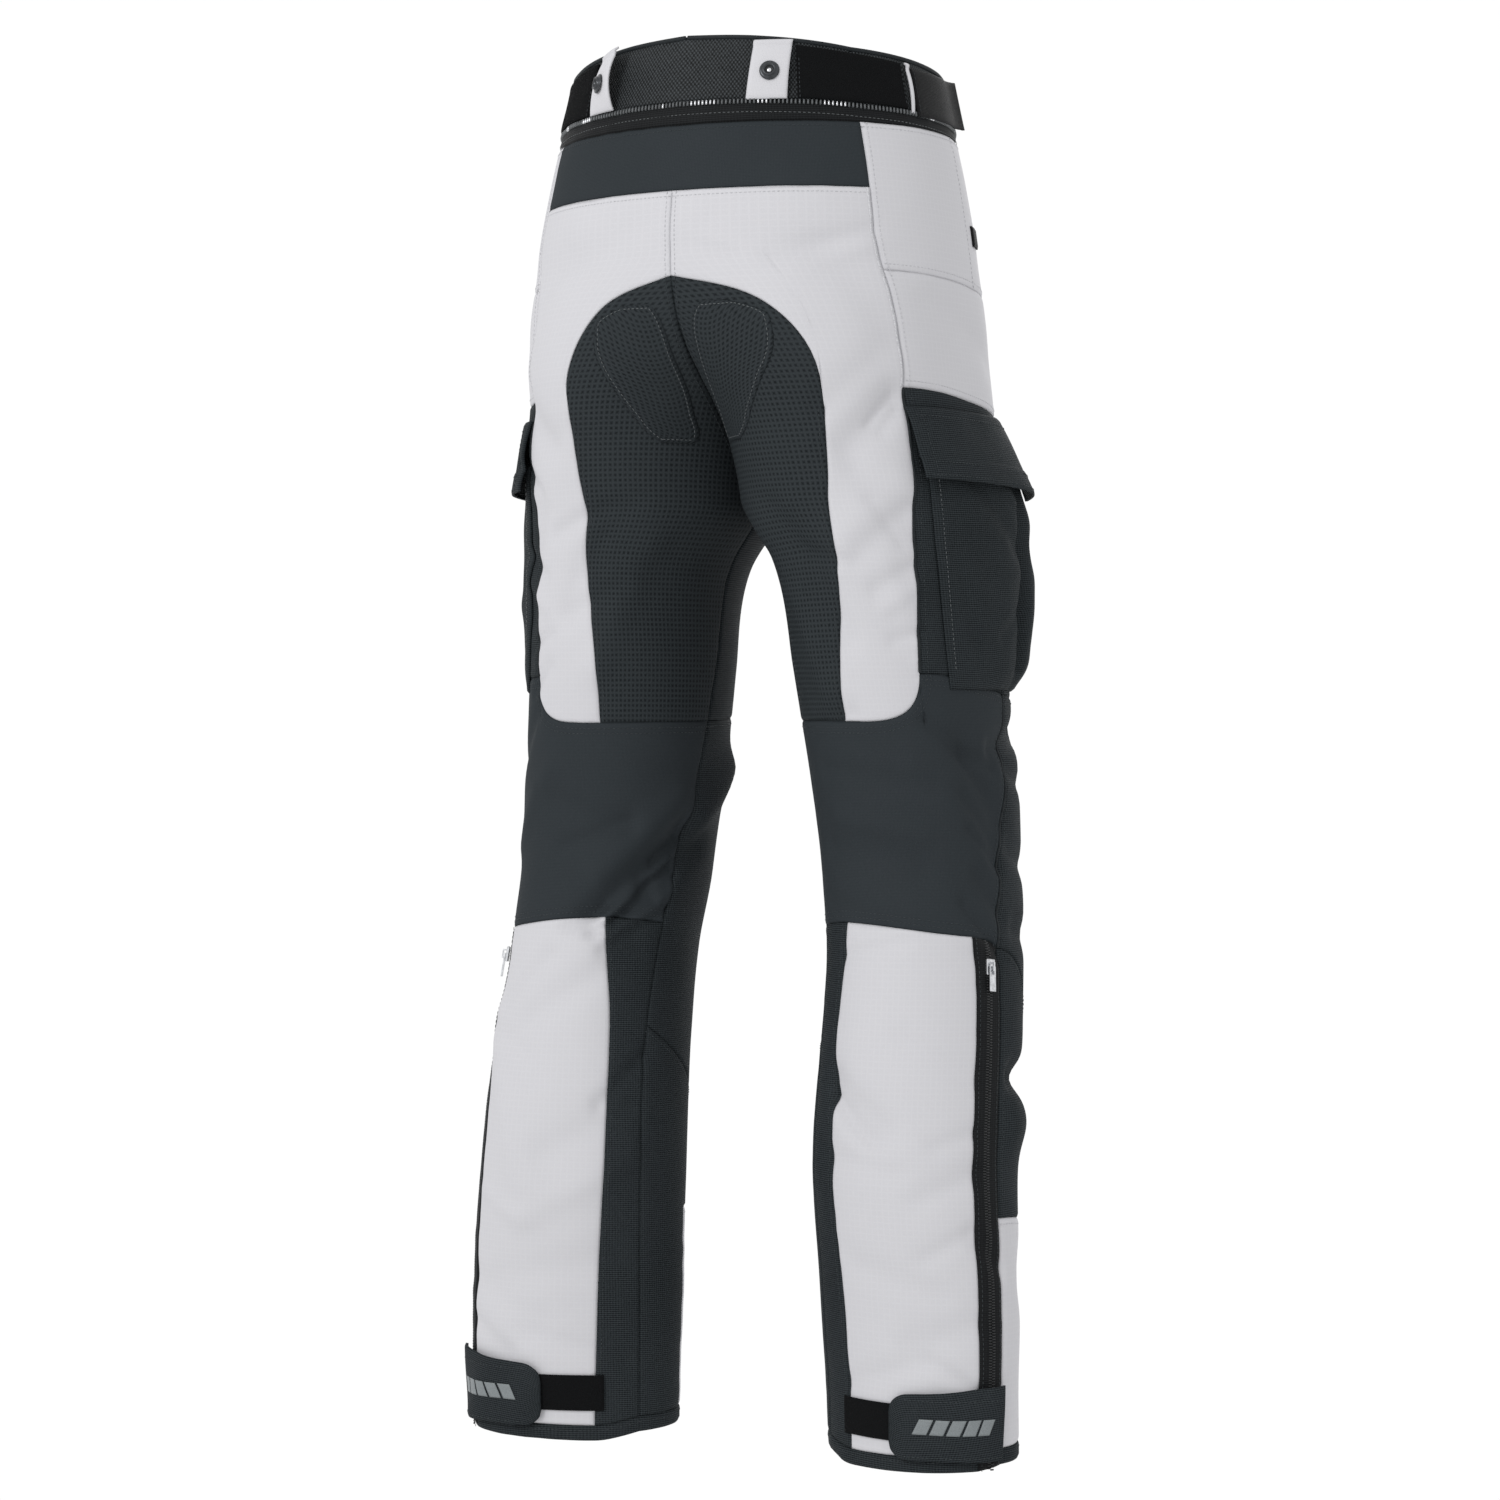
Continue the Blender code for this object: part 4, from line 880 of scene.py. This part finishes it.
pocket = {
    "tab": (101, 110, -0.100, -0.084),
    "angles": (56, 138),
    "rows": table("height shift depth", (-0.262, 0, 0.0100), (-0.285, 0, 0.0172), (-0.315, 0, 0.0240),
                  (-0.345, -1, 0.0252), (-0.375, -3, 0.0235), (-0.405, -6, 0.0185), (-0.428, -9, 0.0110),
                  (-0.440, -11, 0.0010)),
    "lobes": table("across depth", (0.00, 0.03), (0.12, 0.14), (0.30, 0.36), (0.48, 0.62), (0.58, 0.66),
                   (0.66, 0.52), (0.74, 0.90), (0.84, 1.00), (0.94, 0.60), (1.00, 0.03)),
    # creases of the bag: share across and height at each end, width in shares, depth
    "creases": table(
        "across height toAcross toHeight width depth",
        (0.28, -0.282, 0.56, -0.330, 0.050, -0.0030), (0.40, -0.275, 0.62, -0.300, 0.035, 0.0022),
        (0.62, -0.290, 0.70, -0.420, 0.030, -0.0060), (0.30, -0.370, 0.60, -0.350, 0.060, 0.0016),
        (0.44, -0.400, 0.66, -0.372, 0.040, -0.0020), (0.10, -0.330, 0.24, -0.420, 0.030, -0.0010),
    ),
    "creaseFrom": 0.012,      # depth of the bag from which a crease is whole
    "leastLift": 0.0003,
    "tabThickness": 0.0016,
    "bagThickness": 0.0014,
    "flapAngles": (51, 131),
    "flapHeights": (-0.229, -0.283),
    "flapDrop": 0.006,
    "flapLift": (0.0023, 0.0088, 0.0258),
    "flapSeam": 0.70,
    "flapSeamStep": 0.0009,
    "flapWave": 0.0012,
    "flapThickness": 0.0022,
}


def makeSeatPad(side):
    # patch between shares of the seat panel's width, corners rounded by its outline
    rows = seatPad["outline"]
    height = np.linspace(rows["height"][0], rows["height"][-1], 60)[:, None]
    share = np.linspace(0, 1, 40)
    start, end = along(rows, "start", height), along(rows, "end", height)
    columns = start + (end - start) * share
    height = np.broadcast_to(height, columns.shape)
    angles = columnAngle(side, columns, height)
    layPiece("seat_patch", "darkGrid", "seat_pad", side, angles, height, seatPad["lift"],
             seatPad["thickness"], seatPad["soft"], seatPad["roll"])


def loopTwist(side, share, aside):
    # a twisted strip: its width shrinks by the cosine, and its inner edge stands off by the sine
    turn = np.radians(waistTrims["loopTurn"][side]) * (1.12 - 0.90 * share**2.5)   # nearly flat at its foot
    start, end = waistTrims["loopBack"][:2]
    out = (np.radians(end - start) / 2 - np.radians(aside)) * waistTrims["loopRadius"] * np.sin(turn)
    return aside * np.cos(turn), out, turn


def makeWaistTrims(side):
    angles, heights = strip(*waistTrims["pad"], lambda a: bandLine("zip", a) + 0.0005,
                            lambda a: bandLine("top", a) - 0.004, 80, 40)
    layPiece("waist_pile", "pile", "waist_pad", side, angles, heights, laid["clear"],
             waistTrims["padThickness"], waistTrims["padSoft"])
    start, end, low, high = waistTrims["strap"]
    angles, heights = strip(start, end, low, high, 70, 30)
    tipStart, tipEnd, stand = waistTrims["tip"]
    lift = laid["clear"] + np.clip((angles - tipStart) / (tipEnd - tipStart), 0, 1)**2 * stand
    layPiece("waist_webbing", "webbing", "waist_strap", side, angles, heights, lift,
             waistTrims["strapThickness"], 0.0004)
    hookAt, hookWidth, hookDepth = waistTrims["loopHook"]
    for name, node, columns in (("loopBack", "loop_back", 18), ("loopSide", "loop_side", 6)):
        start, end, low, high, bow = waistTrims[name]
        angles, heights = strip(start, end, low, high, columns, 44)
        share = (high - heights) / (high - low)
        hook = hookDepth * np.exp(-(((share - hookAt) / hookWidth)**2))      # turned over at its sewn top
        wideLoop = name == "loopBack"
        pinch = 1 - waistTrims["loopPinch"] * np.sin(np.pi * share) * wideLoop
        middle = (start + end) / 2 + waistTrims["loopLean"][side] * (0.5 - share) * wideLoop
        lift = laid["clear"] + bow * 4 * share * (1 - share) + hook
        aside = (angles - (start + end) / 2) * pinch
        if wideLoop:
            aside, out, _ = loopTwist(side, share, aside)
            lift = lift + out
        layPiece(node + "_cloth", "lightBand", node, side, middle + aside, heights, lift,
                 waistTrims["loopThickness"], 0.0003)


def hemStrapLift(angle, height):
    # off the panels by the pile's height, with a slow wave along it
    start, end, low, high = hemTrims["strap"]
    row = (2*height - low - high) / (high - low)
    wave = (1 + np.sin(angle / 6.5 + row * 1.5)) * np.clip((angle - start) / (end - start) * 4, 0, 1)
    return hemTrims["strapOff"] + hemTrims["strapWave"] * wave


def makeHemTrims(side):
    # pile patch, then the strap over it, rounded at its end: inset = r - sqrt(r^2 - (r - x)^2)
    angles, heights = strip(*hemTrims["pad"], 90, 30)
    layPiece("hem_pile", "pile", "hem_pad", side, angles, heights, laid["clear"],
             hemTrims["padThickness"], 0.0005)
    start, end, low, high = hemTrims["strap"]
    share = np.concatenate([np.linspace(0, 0.18, 16)[:-1], np.linspace(0.18, 1, 70)])
    reachAlong = share * math.radians(end - start) * hemTrims["radius"]
    r = hemTrims["round"]
    inset = np.where(reachAlong < r, r - np.sqrt(np.clip(r*r - (r - reachAlong)**2, 0, None)), 0)
    rows = np.linspace(1, -1, 34)[:, None]
    top = high + hemTrims["rise"] * share
    heights = (low + top) / 2 + rows * ((top - low) / 2 - inset * 0.97)
    angles = np.broadcast_to(start + (end - start) * share, heights.shape)
    layPiece("hem_closing_strap", "darkRib", "hem_strap", side, angles, heights,
             hemStrapLift(angles, heights), hemTrims["strapThickness"], 0.0004)
    first, last, low, high = hemTrims["bar"]
    wide, slant = (last - first) / hemTrims["barPieces"], hemTrims["barSlant"]
    for number in range(hemTrims["barPieces"]):
        start = first + wide*number
        angles, heights = strip(start, start + wide - hemTrims["barGap"], low, high, 8, 8)
        angles = angles + slant * (heights - low) / (high - low)
        layPiece("reflective_bar", "reflective", None, side, angles, heights,
                 hemStrapLift(angles, heights) + hemTrims["barLift"], hemTrims["barThickness"],
                 0.0004, 0.0001, number)


def bagAngle(side, share, height):
    start, end = pocket["angles"]
    return start + (end - start + along(pocket["rows"], "shift", height)) * share + slideAt(side, height)


def bagLift(share, height):
    # depth of the row times the lobe across, and the creases
    tall = pocket["rows"]["height"][0] - pocket["rows"]["height"][-1]
    depth = along(pocket["rows"], "depth", height)
    lift = laid["clear"] + depth * curveThrough(share, pocket["lobes"]["across"], pocket["lobes"]["depth"])
    for a, h, ta, th, width, deep in zip(*pocket["creases"].values()):
        fold = lineFold(share - a, (height - h) / tall, ta - a, (th - h) / tall, width)
        lift = lift + deep * fold * np.clip(depth / pocket["creaseFrom"], 0, 1)
    return np.maximum(lift, pocket["leastLift"])


def flapPlace(side, share, down):
    start, end = pocket["flapAngles"]
    high, low = pocket["flapHeights"]
    height = high + (low - high - pocket["flapDrop"] * share) * down
    return start + (end - start) * share + slideAt(side, height), height


def flapLift(share, down):
    # out from its sewn top to its free edge, most at the front, with a slow wave
    top, rear, front = pocket["flapLift"]
    lift = top + down * (rear - top + (front - rear) * np.minimum(share / 0.75, 1)**1.1)
    step = np.clip((down - pocket["flapSeam"]) / 0.02, 0, 1)      # the flap's own hem lies a layer higher
    return lift + pocket["flapWave"] * np.sin(share * 9.0 + 0.6) * down + pocket["flapSeamStep"] * (step - 1)


def makePocket(side):
    start, end, low, high = pocket["tab"]
    angles, heights = strip(start, end, low, high, 14, 14)
    layPiece("pocket_webbing", "webbing", "pocket_tab", side, angles, heights, laid["clear"],
             pocket["tabThickness"])
    rows = pocket["rows"]["height"]
    share, height = np.meshgrid(np.linspace(0, 1, 110), np.linspace(rows[0], rows[-1], 110))
    layPiece("pocket_bellows", "darkRib", "pocket_bag", side, bagAngle(side, share, height), height,
             bagLift(share, height), pocket["bagThickness"], 0.0008, 0.0014)
    share, down = np.meshgrid(np.linspace(0, 1, 110), np.linspace(0, 1, 50))
    layPiece("pocket_flap_cloth", "darkRib", "pocket_flap", side, *flapPlace(side, share, down),
             flapLift(share, down), pocket["flapThickness"], 0.0006)


studProfile = table("radius height", (0.0, 0.0012), (0.0011, 0.0016), (0.0016, 0.0012), (0.0024, 0.0009),
                    (0.0030, 0.0020), (0.0038, 0.0034), (0.0046, 0.0036), (0.0051, 0.0028), (0.0054, 0.0016),
                    (0.0064, 0.0016), (0.0073, 0.0011), (0.0076, 0.0004), (0.0075, 0.0), (0.0, 0.0))


def ringFaces(rings, steps):
    # quads between rings of points, each closed round
    row, step = np.meshgrid(np.arange(rings - 1), np.arange(steps), indexing="ij")
    a, b = row*steps + step, row*steps + (step + 1) % steps
    return np.stack([a, b, b + steps, a + steps], -1).reshape(-1, 4)


def makeStud(side):
    # ring stud: its profile (radius, height) carried round its axis
    angle, height = waistTrims["studAngle"], waistTrims["studHeight"]
    place, out = clothSurface(side, angle, height)
    start, end, low, high, bow = waistTrims["loopBack"]
    share = (high - height) / (high - low)
    _, stand, turn = loopTwist(side, share, 0.0)
    place = place + out * (laid["clear"] + bow * 4 * share * (1 - share) + stand)
    sideways = normalised(np.cross(out, (0, 0, 1))) * (1 if side == "left" else -1)
    out = out * math.cos(turn) + sideways * math.sin(turn)
    place = place + out * waistTrims["loopThickness"]
    upward = normalised(np.cross(np.cross(out, (0, 0, 1)), out))
    aside = np.cross(upward, out)
    steps = 40
    turn = np.arange(steps) * math.tau / steps
    radius, rise = studProfile["radius"][:, None, None], studProfile["height"][:, None, None]
    ring = aside * np.cos(turn)[:, None] + upward * np.sin(turn)[:, None]
    points = (place + ring * radius + out * rise).reshape(-1, 3)
    item = makeMesh("press_stud_" + side, points, ringFaces(len(radius), steps)[:, ::-1])
    merge(item)
    dress(item, "gunmetal", "loop_stud_" + side)
    item.data.materials.append(looks["blackTeeth"])
    item.data.materials.append(looks["silver"])
    silverReach, blackReach = waistTrims["studRings"]
    for face in item.data.polygons:
        far = np.linalg.norm(np.array(face.center) - place)
        face.material_index = 2 if far < silverReach else 1 if far < blackReach else 0


def merge(item, distance=0.00002):
    # weld what meets, and turn the faces outwards
    bm = bmesh.new()
    bm.from_mesh(item.data)
    bmesh.ops.remove_doubles(bm, verts=bm.verts, dist=distance)
    bmesh.ops.recalc_face_normals(bm, faces=bm.faces)
    bm.to_mesh(item.data)
    bm.free()


sewing = {
    "pitch": 0.0036,
    "length": 0.0027,
    "radius": 0.00026,
    "lift": 0.0001,
    # kind of thread, seam, first and last, way off the seam (towards the next column, or down) in metres
    "columns": (
        ("lightThread", 0, "yoke", "hip", 0.0040),
        ("lightThread", 2, "body", "hip", 0.0045), ("lightThread", 2, "hip", "flap", 0.0045),
        ("darkThread", 1, "knee", "hem", -0.0040), ("darkThread", 2, "flap", "thigh", 0.0060),
        ("darkThread", 1, "hip", "thigh", -0.0045), ("darkThread", 0, "hip", "crotch", 0.0040),
        ("lightThread", 2.66, "body", "hip", 0.0), ("darkThread", 3, "thigh", "knee", -0.0045),
        ("darkThread", 3, "thigh", "knee", 0.0045), ("darkThread", 2, "knee", "end", 0.0028),
        ("darkThread", 3, "knee", "end", -0.0028), ("darkThread", 3, "flap", "thigh", 0.0045),
        ("lightThread", 3.8, "body", "hip", -0.0045), ("darkThread", 3, "knee", "shin", 0.0045),
    ),
    "crosses": (
        ("greyThread", "zip", 0, 4, 0.0105), ("darkThread", "body", 0, 2, 0.0040),
        ("lightThread", "body", 2, 4, 0.0040), ("lightThread", "yoke", 0, 2, 0.0045),
        ("lightThread", "hip", 2, 3.8, -0.0045), ("lightThread", "flap", 2, 4, -0.0050),
        ("darkThread", "thigh", 0, 1, 0.0045), ("darkThread", "thigh", 1, 3, 0.0045),
        ("darkThread", "thigh", 0, 3, 0.0085), ("darkThread", "thigh", 3, 4, 0.0045),
        ("darkThread", "knee", 0, 3, -0.0045), ("darkThread", "knee", 0, 3, -0.0085),
        ("darkThread", "knee", 3, 4, 0.0045), ("lightThread", "shin", 3, 3.8, 0.0045),
        ("darkThread", "hem", 0, 2, 0.0040), ("darkThread", "hem", 3, 4, 0.0040),
    ),
}


def offsetPath(side, angle, height, offset, kind):
    # places off a line by offset, within the cloth: solve (Ea Eh) (da dh) = offset * B for B = out x along
    point = smoothPoint(side, angle, height)
    nudge = 0.0005
    perAngle = smoothPoint(side, angle + 0.5, height) - smoothPoint(side, angle - 0.5, height)
    perHeight = smoothPoint(side, angle, height + nudge) - smoothPoint(side, angle, height - nudge)
    perHeight = perHeight / (2*nudge)
    ahead = normalised(np.gradient(point, axis=0))
    aside = normalised(np.cross(np.cross(perAngle, perHeight), ahead)) * offset
    aa, ah, hh = (perAngle**2).sum(-1), (perAngle*perHeight).sum(-1), (perHeight**2).sum(-1)
    ba, bh = (perAngle*aside).sum(-1), (perHeight*aside).sum(-1)
    turn, rise = (ba*hh - bh*ah) / (aa*hh - ah*ah), (bh*aa - ba*ah) / (aa*hh - ah*ah)
    wanted = np.sign(offset) * (np.mean(turn) if kind == "column" else -np.mean(rise))
    flip = -1 if wanted < 0 else 1
    return angle + turn*flip, height + rise*flip


def seamLine(side, angle, height, offset, kind):
    # points and outward directions of a row of stitches beside a seam
    seam, _ = clothSurface(side, angle, height)
    if offset:
        angle, height = offsetPath(side, angle, height, offset, kind)
    points, outs = clothSurface(side, angle, height)
    return points + outs * (seamShape(seam, abs(offset) if offset else 1.0) + sewing["lift"])[:, None], outs


def evenly(points, outs, pitch):
    # centre, direction along and outward direction at every pitch of a line
    run = np.concatenate([[0], np.cumsum(np.linalg.norm(np.diff(points, axis=0), axis=-1))])
    stops = np.arange(pitch / 2, run[-1], pitch)
    at = np.stack([np.interp(stops, run, points[:, i]) for i in range(3)], -1)
    out = normalised(np.stack([np.interp(stops, run, outs[:, i]) for i in range(3)], -1))
    ahead = np.gradient(points, run, axis=0)
    ahead = np.stack([np.interp(stops, run, ahead[:, i]) for i in range(3)], -1)
    ahead = normalised(ahead - out * (ahead*out).sum(-1, keepdims=True))
    return at, ahead, out


def copies(name, look, at, ahead, out, shape, triangles):
    # one joined mesh of the same small shape: at + ahead*x + out*y + (ahead x out)*z
    aside = np.cross(ahead, out)
    frameOf = np.stack([ahead, out, aside], 1)
    points = (at[:, None] + np.einsum("kj,njc->nkc", shape, frameOf)).reshape(-1, 3)
    faces = (triangles[None] + np.arange(len(at))[:, None, None] * len(shape)).reshape(-1, 3)
    return dress(makeMesh(name, points, faces), look)


def stitchShape(length, radius):
    # a thread's hump: two tips sunk in the cloth and two rings of four between them
    ring = [(x, radius * math.cos(t), radius * math.sin(t)) for x in (-length/4, length/4)
            for t in (0, math.pi/2, math.pi, 3*math.pi/2)]
    shape = np.array([(-length/2, -radius*0.6, 0), *ring, (length/2, -radius*0.6, 0)])
    triangles = []
    for i in range(4):
        j = (i + 1) % 4
        triangles += [(0, 1 + j, 1 + i), (1 + i, 1 + j, 5 + j), (1 + i, 5 + j, 5 + i), (5 + i, 5 + j, 9)]
    return shape, np.array(triangles)


def toothShape(wide, long, tall):
    # a tooth with a narrower head: base, shoulder and top
    rings = [(wide, long, 0.0), (wide, long, tall*0.6), (wide*0.6, long*0.8, tall)]
    corners = ((-1, -1), (1, -1), (1, 1), (-1, 1))
    shape = np.array([(x*w/2, h, z*l/2) for w, l, h in rings for x, z in corners])
    triangles = [(8, 9, 10), (8, 10, 11)]
    for base in (0, 4):
        for i in range(4):
            j = (i + 1) % 4
            triangles += [(base + i, base + j, base + 4 + j), (base + i, base + 4 + j, base + 4 + i)]
    return shape, np.array(triangles)[:, ::-1]


def columnLine(side, column, upper, lower):
    height = np.linspace(crossHeight(upper, column), crossHeight(lower, column), 160)
    return columnAngle(side, column, height), height


def crossLine(side, name, first, last):
    columns = np.linspace(first, last, 260)
    height = crossHeight(name, columns)
    return columnAngle(side, columns, height), height


threads = {"greyThread": [], "darkThread": [], "lightThread": []}   # lines of stitches of each colour


def laidLine(look, side, angle, height, lift, soft=0.0):
    # a row of stitches on a laid piece
    angle, height = np.broadcast_arrays(np.asarray(angle, float), np.asarray(height, float))
    points, outs = clothSurface(side, angle, height)
    points = points + outs * np.broadcast_to(lift, points.shape[:1])[:, None]
    wave = soft * softNoise(points, laid["softSize"], laid["softSeed"]) * 0.5
    points = points + outs * (wave + sewing["lift"])[:, None]
    threads[look].append((points, outs))


def sewSeams(side):
    for look, column, upper, lower, offset in sewing["columns"]:
        threads[look].append(seamLine(side, *columnLine(side, column, upper, lower), offset, "column"))
    for look, name, first, last, offset in sewing["crosses"]:
        threads[look].append(seamLine(side, *crossLine(side, name, first, last), offset, "cross"))


def sewTrims(side):
    # round the seat patch, over the flap, down the pocket's rear strip and round the hem strap
    rows, inside = seatPad["outline"], seatPad["stitchIn"]
    height = np.linspace(rows["height"][0] - 0.003, rows["height"][-1] + 0.003, 80)
    start, end = (along(rows, name, height) for name in ("start", "end"))
    lift = seatPad["lift"] + seatPad["thickness"]
    for column in (start + inside, end - inside):
        laidLine("greyThread", side, columnAngle(side, column, height), height, lift, 0.0006)
    for i in (0, -1):
        columns = np.linspace(start[i] + inside, end[i] - inside, 40)
        laidLine("greyThread", side, columnAngle(side, columns, height[i]), height[i], lift, 0.0006)
    down, share = np.linspace(0.04, 0.96, 60), np.linspace(0.03, 0.97, 120)
    flapLines = [(0*down + across, down) for across in (0.07, 0.93)]
    flapLines += [(share, 0*share + level) for level in (0.12, 0.76, 0.94)]
    for share, down in flapLines:
        lift = flapLift(share, down) + pocket["flapThickness"]
        laidLine("darkThread", side, *flapPlace(side, share, down), lift)
    height = np.linspace(-0.275, -0.425, 90)
    share = 0*height + 0.05
    lift = bagLift(share, height) + laid["clear"] + pocket["bagThickness"]
    laidLine("greyThread", side, bagAngle(side, share, height), height, lift)
    start, end, low, high = hemTrims["strap"]
    angle = np.linspace(start + 9, end - 1, 120)
    for height in (low + 0.003, high - 0.003):
        laidLine("darkThread", side, angle, height, hemStrapLift(angle, height) + hemTrims["strapThickness"])
    start, end = waistTrims["pad"]
    height = np.linspace(0.000, 0.030, 30)
    for angle in (start + 0.7, end - 0.7):
        laidLine("darkThread", side, angle, height, laid["clear"] + waistTrims["padThickness"])
    start, end, low, high = waistTrims["strap"]
    laidLine("darkThread", side, start + 1.2, np.linspace(low + 0.003, high - 0.003, 30), 0.0028)


def makeStitches():
    shape, triangles = stitchShape(sewing["length"], sewing["radius"])
    for look, lines in threads.items():
        made = [evenly(points, outs, sewing["pitch"]) for points, outs in lines]
        at, ahead, out = (np.concatenate(parts) for parts in zip(*made))
        copies("stitches_" + look, look, at, ahead, out, shape, triangles)
        print(look, "stitches:", len(at))


zips = {
    "waistPitch": 0.0031,
    "waistTooth": (0.0014, 0.0036, 0.0016),
    "waistOffset": 0.0022,
    # noise level above which a waist tooth is made silver, a painted glint
    "paintedGlintLevel": 0.42,
    "legPitch": 0.0021,
    "legTooth": (0.0011, 0.0026, 0.0010),
    "legOffset": 0.0013,
}


def makeZipTeeth(side):
    # the teeth of the connecting zip, with clusters of them made silver as painted glints
    points, outs = seamLine(side, *crossLine(side, "zip", 0, 3.9), zips["waistOffset"], "cross")
    at, ahead, out = evenly(points, outs, zips["waistPitch"])
    # teeth where the noise is high are made silver: painted glints
    paintedGlint = softNoise(at, 0.013, 5) > zips["paintedGlintLevel"]
    shape, triangles = toothShape(*zips["waistTooth"])
    for name, look, which in (("waist_teeth_", "teeth", ~paintedGlint), ("waist_teeth_painted_glint_", "silver", paintedGlint)):
        copies(name + side, look, at[which], ahead[which], out[which], shape, triangles)
    shape, triangles = toothShape(*zips["legTooth"])
    rows = []
    for number, offset in enumerate((-zips["legOffset"], zips["legOffset"])):
        line = columnLine(side, 2.5, "knee", "end")
        at, ahead, out = evenly(*seamLine(side, *line, offset, "column"), zips["legPitch"])
        rows.append((at + ahead * zips["legPitch"] / 2 * number, ahead, out))
    at, ahead, out = (np.concatenate(parts) for parts in zip(*rows))
    copies("leg_teeth_" + side, "blackTeeth", at, ahead, out, shape, triangles)


piping = {    # how deep each is sunk, and its radius
    "binding": (0.0008, 0.0019),
    "cord": (0.0006, 0.0012),
    "felled": (0.0006, 0.0010),
    "felledOff": -0.0022,
}


def tube(name, look, points, outs, sunk, radius, slotName=None, steps=8):
    # piping: a ring at every point of the line, sunk in the cloth and drawn in at both ends
    points = points - outs*sunk
    ahead = normalised(np.gradient(points, axis=0))
    aside = normalised(np.cross(ahead, outs))
    up = np.cross(aside, ahead)
    turn = np.arange(steps) * math.tau / steps
    ring = aside[:, None] * np.cos(turn)[:, None] + up[:, None] * np.sin(turn)[:, None]
    size = np.full(len(points), radius)
    size[[0, -1]] = radius * 0.1
    surface = points[:, None] + ring * size[:, None, None]
    item = makeMesh(name, surface.reshape(-1, 3), ringFaces(len(points), steps))
    return dress(item, look)


def makePiping(side):
    # bound top edge of the waistband, and the cord in the long outer seams
    points, outs = clothSurface(side, *crossLine(side, "top", 0, 4))
    tube("waist_binding_" + side, "piping", points, outs, *piping["binding"], "waist_mesh")
    for number, (column, upper, lower) in enumerate(((3, "thigh", "knee"), (2, "flap", "thigh"))):
        points, outs = clothSurface(side, *columnLine(side, column, upper, lower))
        tube(f"seam_cord_{side}_{number}", "piping", points, outs, *piping["cord"])
    for upper, lower in (("yoke", "hip"), ("hip", "flap")):
        points, outs = seamLine(side, *columnLine(side, 2, upper, lower), piping["felledOff"], "column")
        tube(f"felled_edge_{side}_{upper}", "lightThread", points, outs, *piping["felled"])


for side in sides:
    makeSeatPad(side)
    makeWaistTrims(side)
    makeHemTrims(side)
    makePocket(side)
    makeStud(side)
    for node in ("zip_slider_" + side, "zip_pull_" + side):
        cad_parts[node].data.materials.clear()
        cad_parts[node].data.materials.append(looks["silver"])
    sewSeams(side)
    sewTrims(side)
    makeZipTeeth(side)
    makePiping(side)
makeStitches()
print("trims and sewing made")


cameraSettings = {
    "turn": 28.0,            # degrees from straight behind towards the wearer's right
    "distance": 3.0,
    "height": -0.485,
    "aside": -0.0055,
    "sensor": 36,
    "pictureWidth": 1500 * 0.00078,    # metres across the picture at the trousers' middle
}
studioSettings = {
    "floorRadius": 1.6,
    "floorHeight": -1.40,
    "world": 0.82,
    "exposure": 0.30,
    "target": (0, 0, -0.5),
    # name: place, size and power
    "lamps": {"key": ((0.7, 2.9, 0.9), 1.0, 30), "front": ((0.8, -2.8, 0.8), 2.0, 16)},
}


def makeCamera():
    turn, distance = math.radians(cameraSettings["turn"]), cameraSettings["distance"]
    forward = Vector((math.sin(turn), -math.cos(turn), 0))
    right = Vector((-math.cos(turn), -math.sin(turn), 0))
    up = Vector((0, 0, 1))
    camera = bpy.data.cameras.new("camera")
    camera.sensor_width = cameraSettings["sensor"]
    camera.lens = cameraSettings["sensor"] * distance / cameraSettings["pictureWidth"]
    item = addItem("camera", camera)
    place = -forward * distance + up * cameraSettings["height"] + right * cameraSettings["aside"]
    item.matrix_world = Matrix.Translation(place) @ Matrix((right, up, -forward)).transposed().to_4x4()
    bpy.context.scene.camera = item


def makeFloor():
    # pale round floor well below the hems: x = r cos a, y = r sin a
    turn = np.arange(96) * math.tau / 96
    rim = np.stack([np.cos(turn), np.sin(turn), np.zeros(96)], -1) * studioSettings["floorRadius"]
    rim[:, 2] = studioSettings["floorHeight"]
    floor = makeMesh("floor", rim, np.arange(96)[None], smooth=False)
    floor.data.materials.append(looks["pale floor"])


def makeStudio():
    # white all round, as bright as the page, with a soft lamp from behind the wearer's left
    world = bpy.data.worlds.new("studio")
    bpy.context.scene.world = world
    world.use_nodes = True
    world.node_tree.nodes["Background"].inputs[0].default_value = (1, 1, 1, 1)
    world.node_tree.nodes["Background"].inputs[1].default_value = studioSettings["world"]
    for name, (place, size, power) in studioSettings["lamps"].items():
        lamp = bpy.data.lights.new(name, "AREA")
        lamp.shape = "DISK"
        lamp.size = size
        lamp.energy = power
        item = addItem(name, lamp)
        item.location = place
        aim = Vector(studioSettings["target"]) - Vector(place)
        item.rotation_euler = aim.to_track_quat("-Z", "Y").to_euler()
    bpy.context.scene.view_settings.view_transform = "Standard"
    bpy.context.scene.view_settings.exposure = studioSettings["exposure"]


makeCamera()
makeFloor()
makeStudio()
print("camera and studio set")
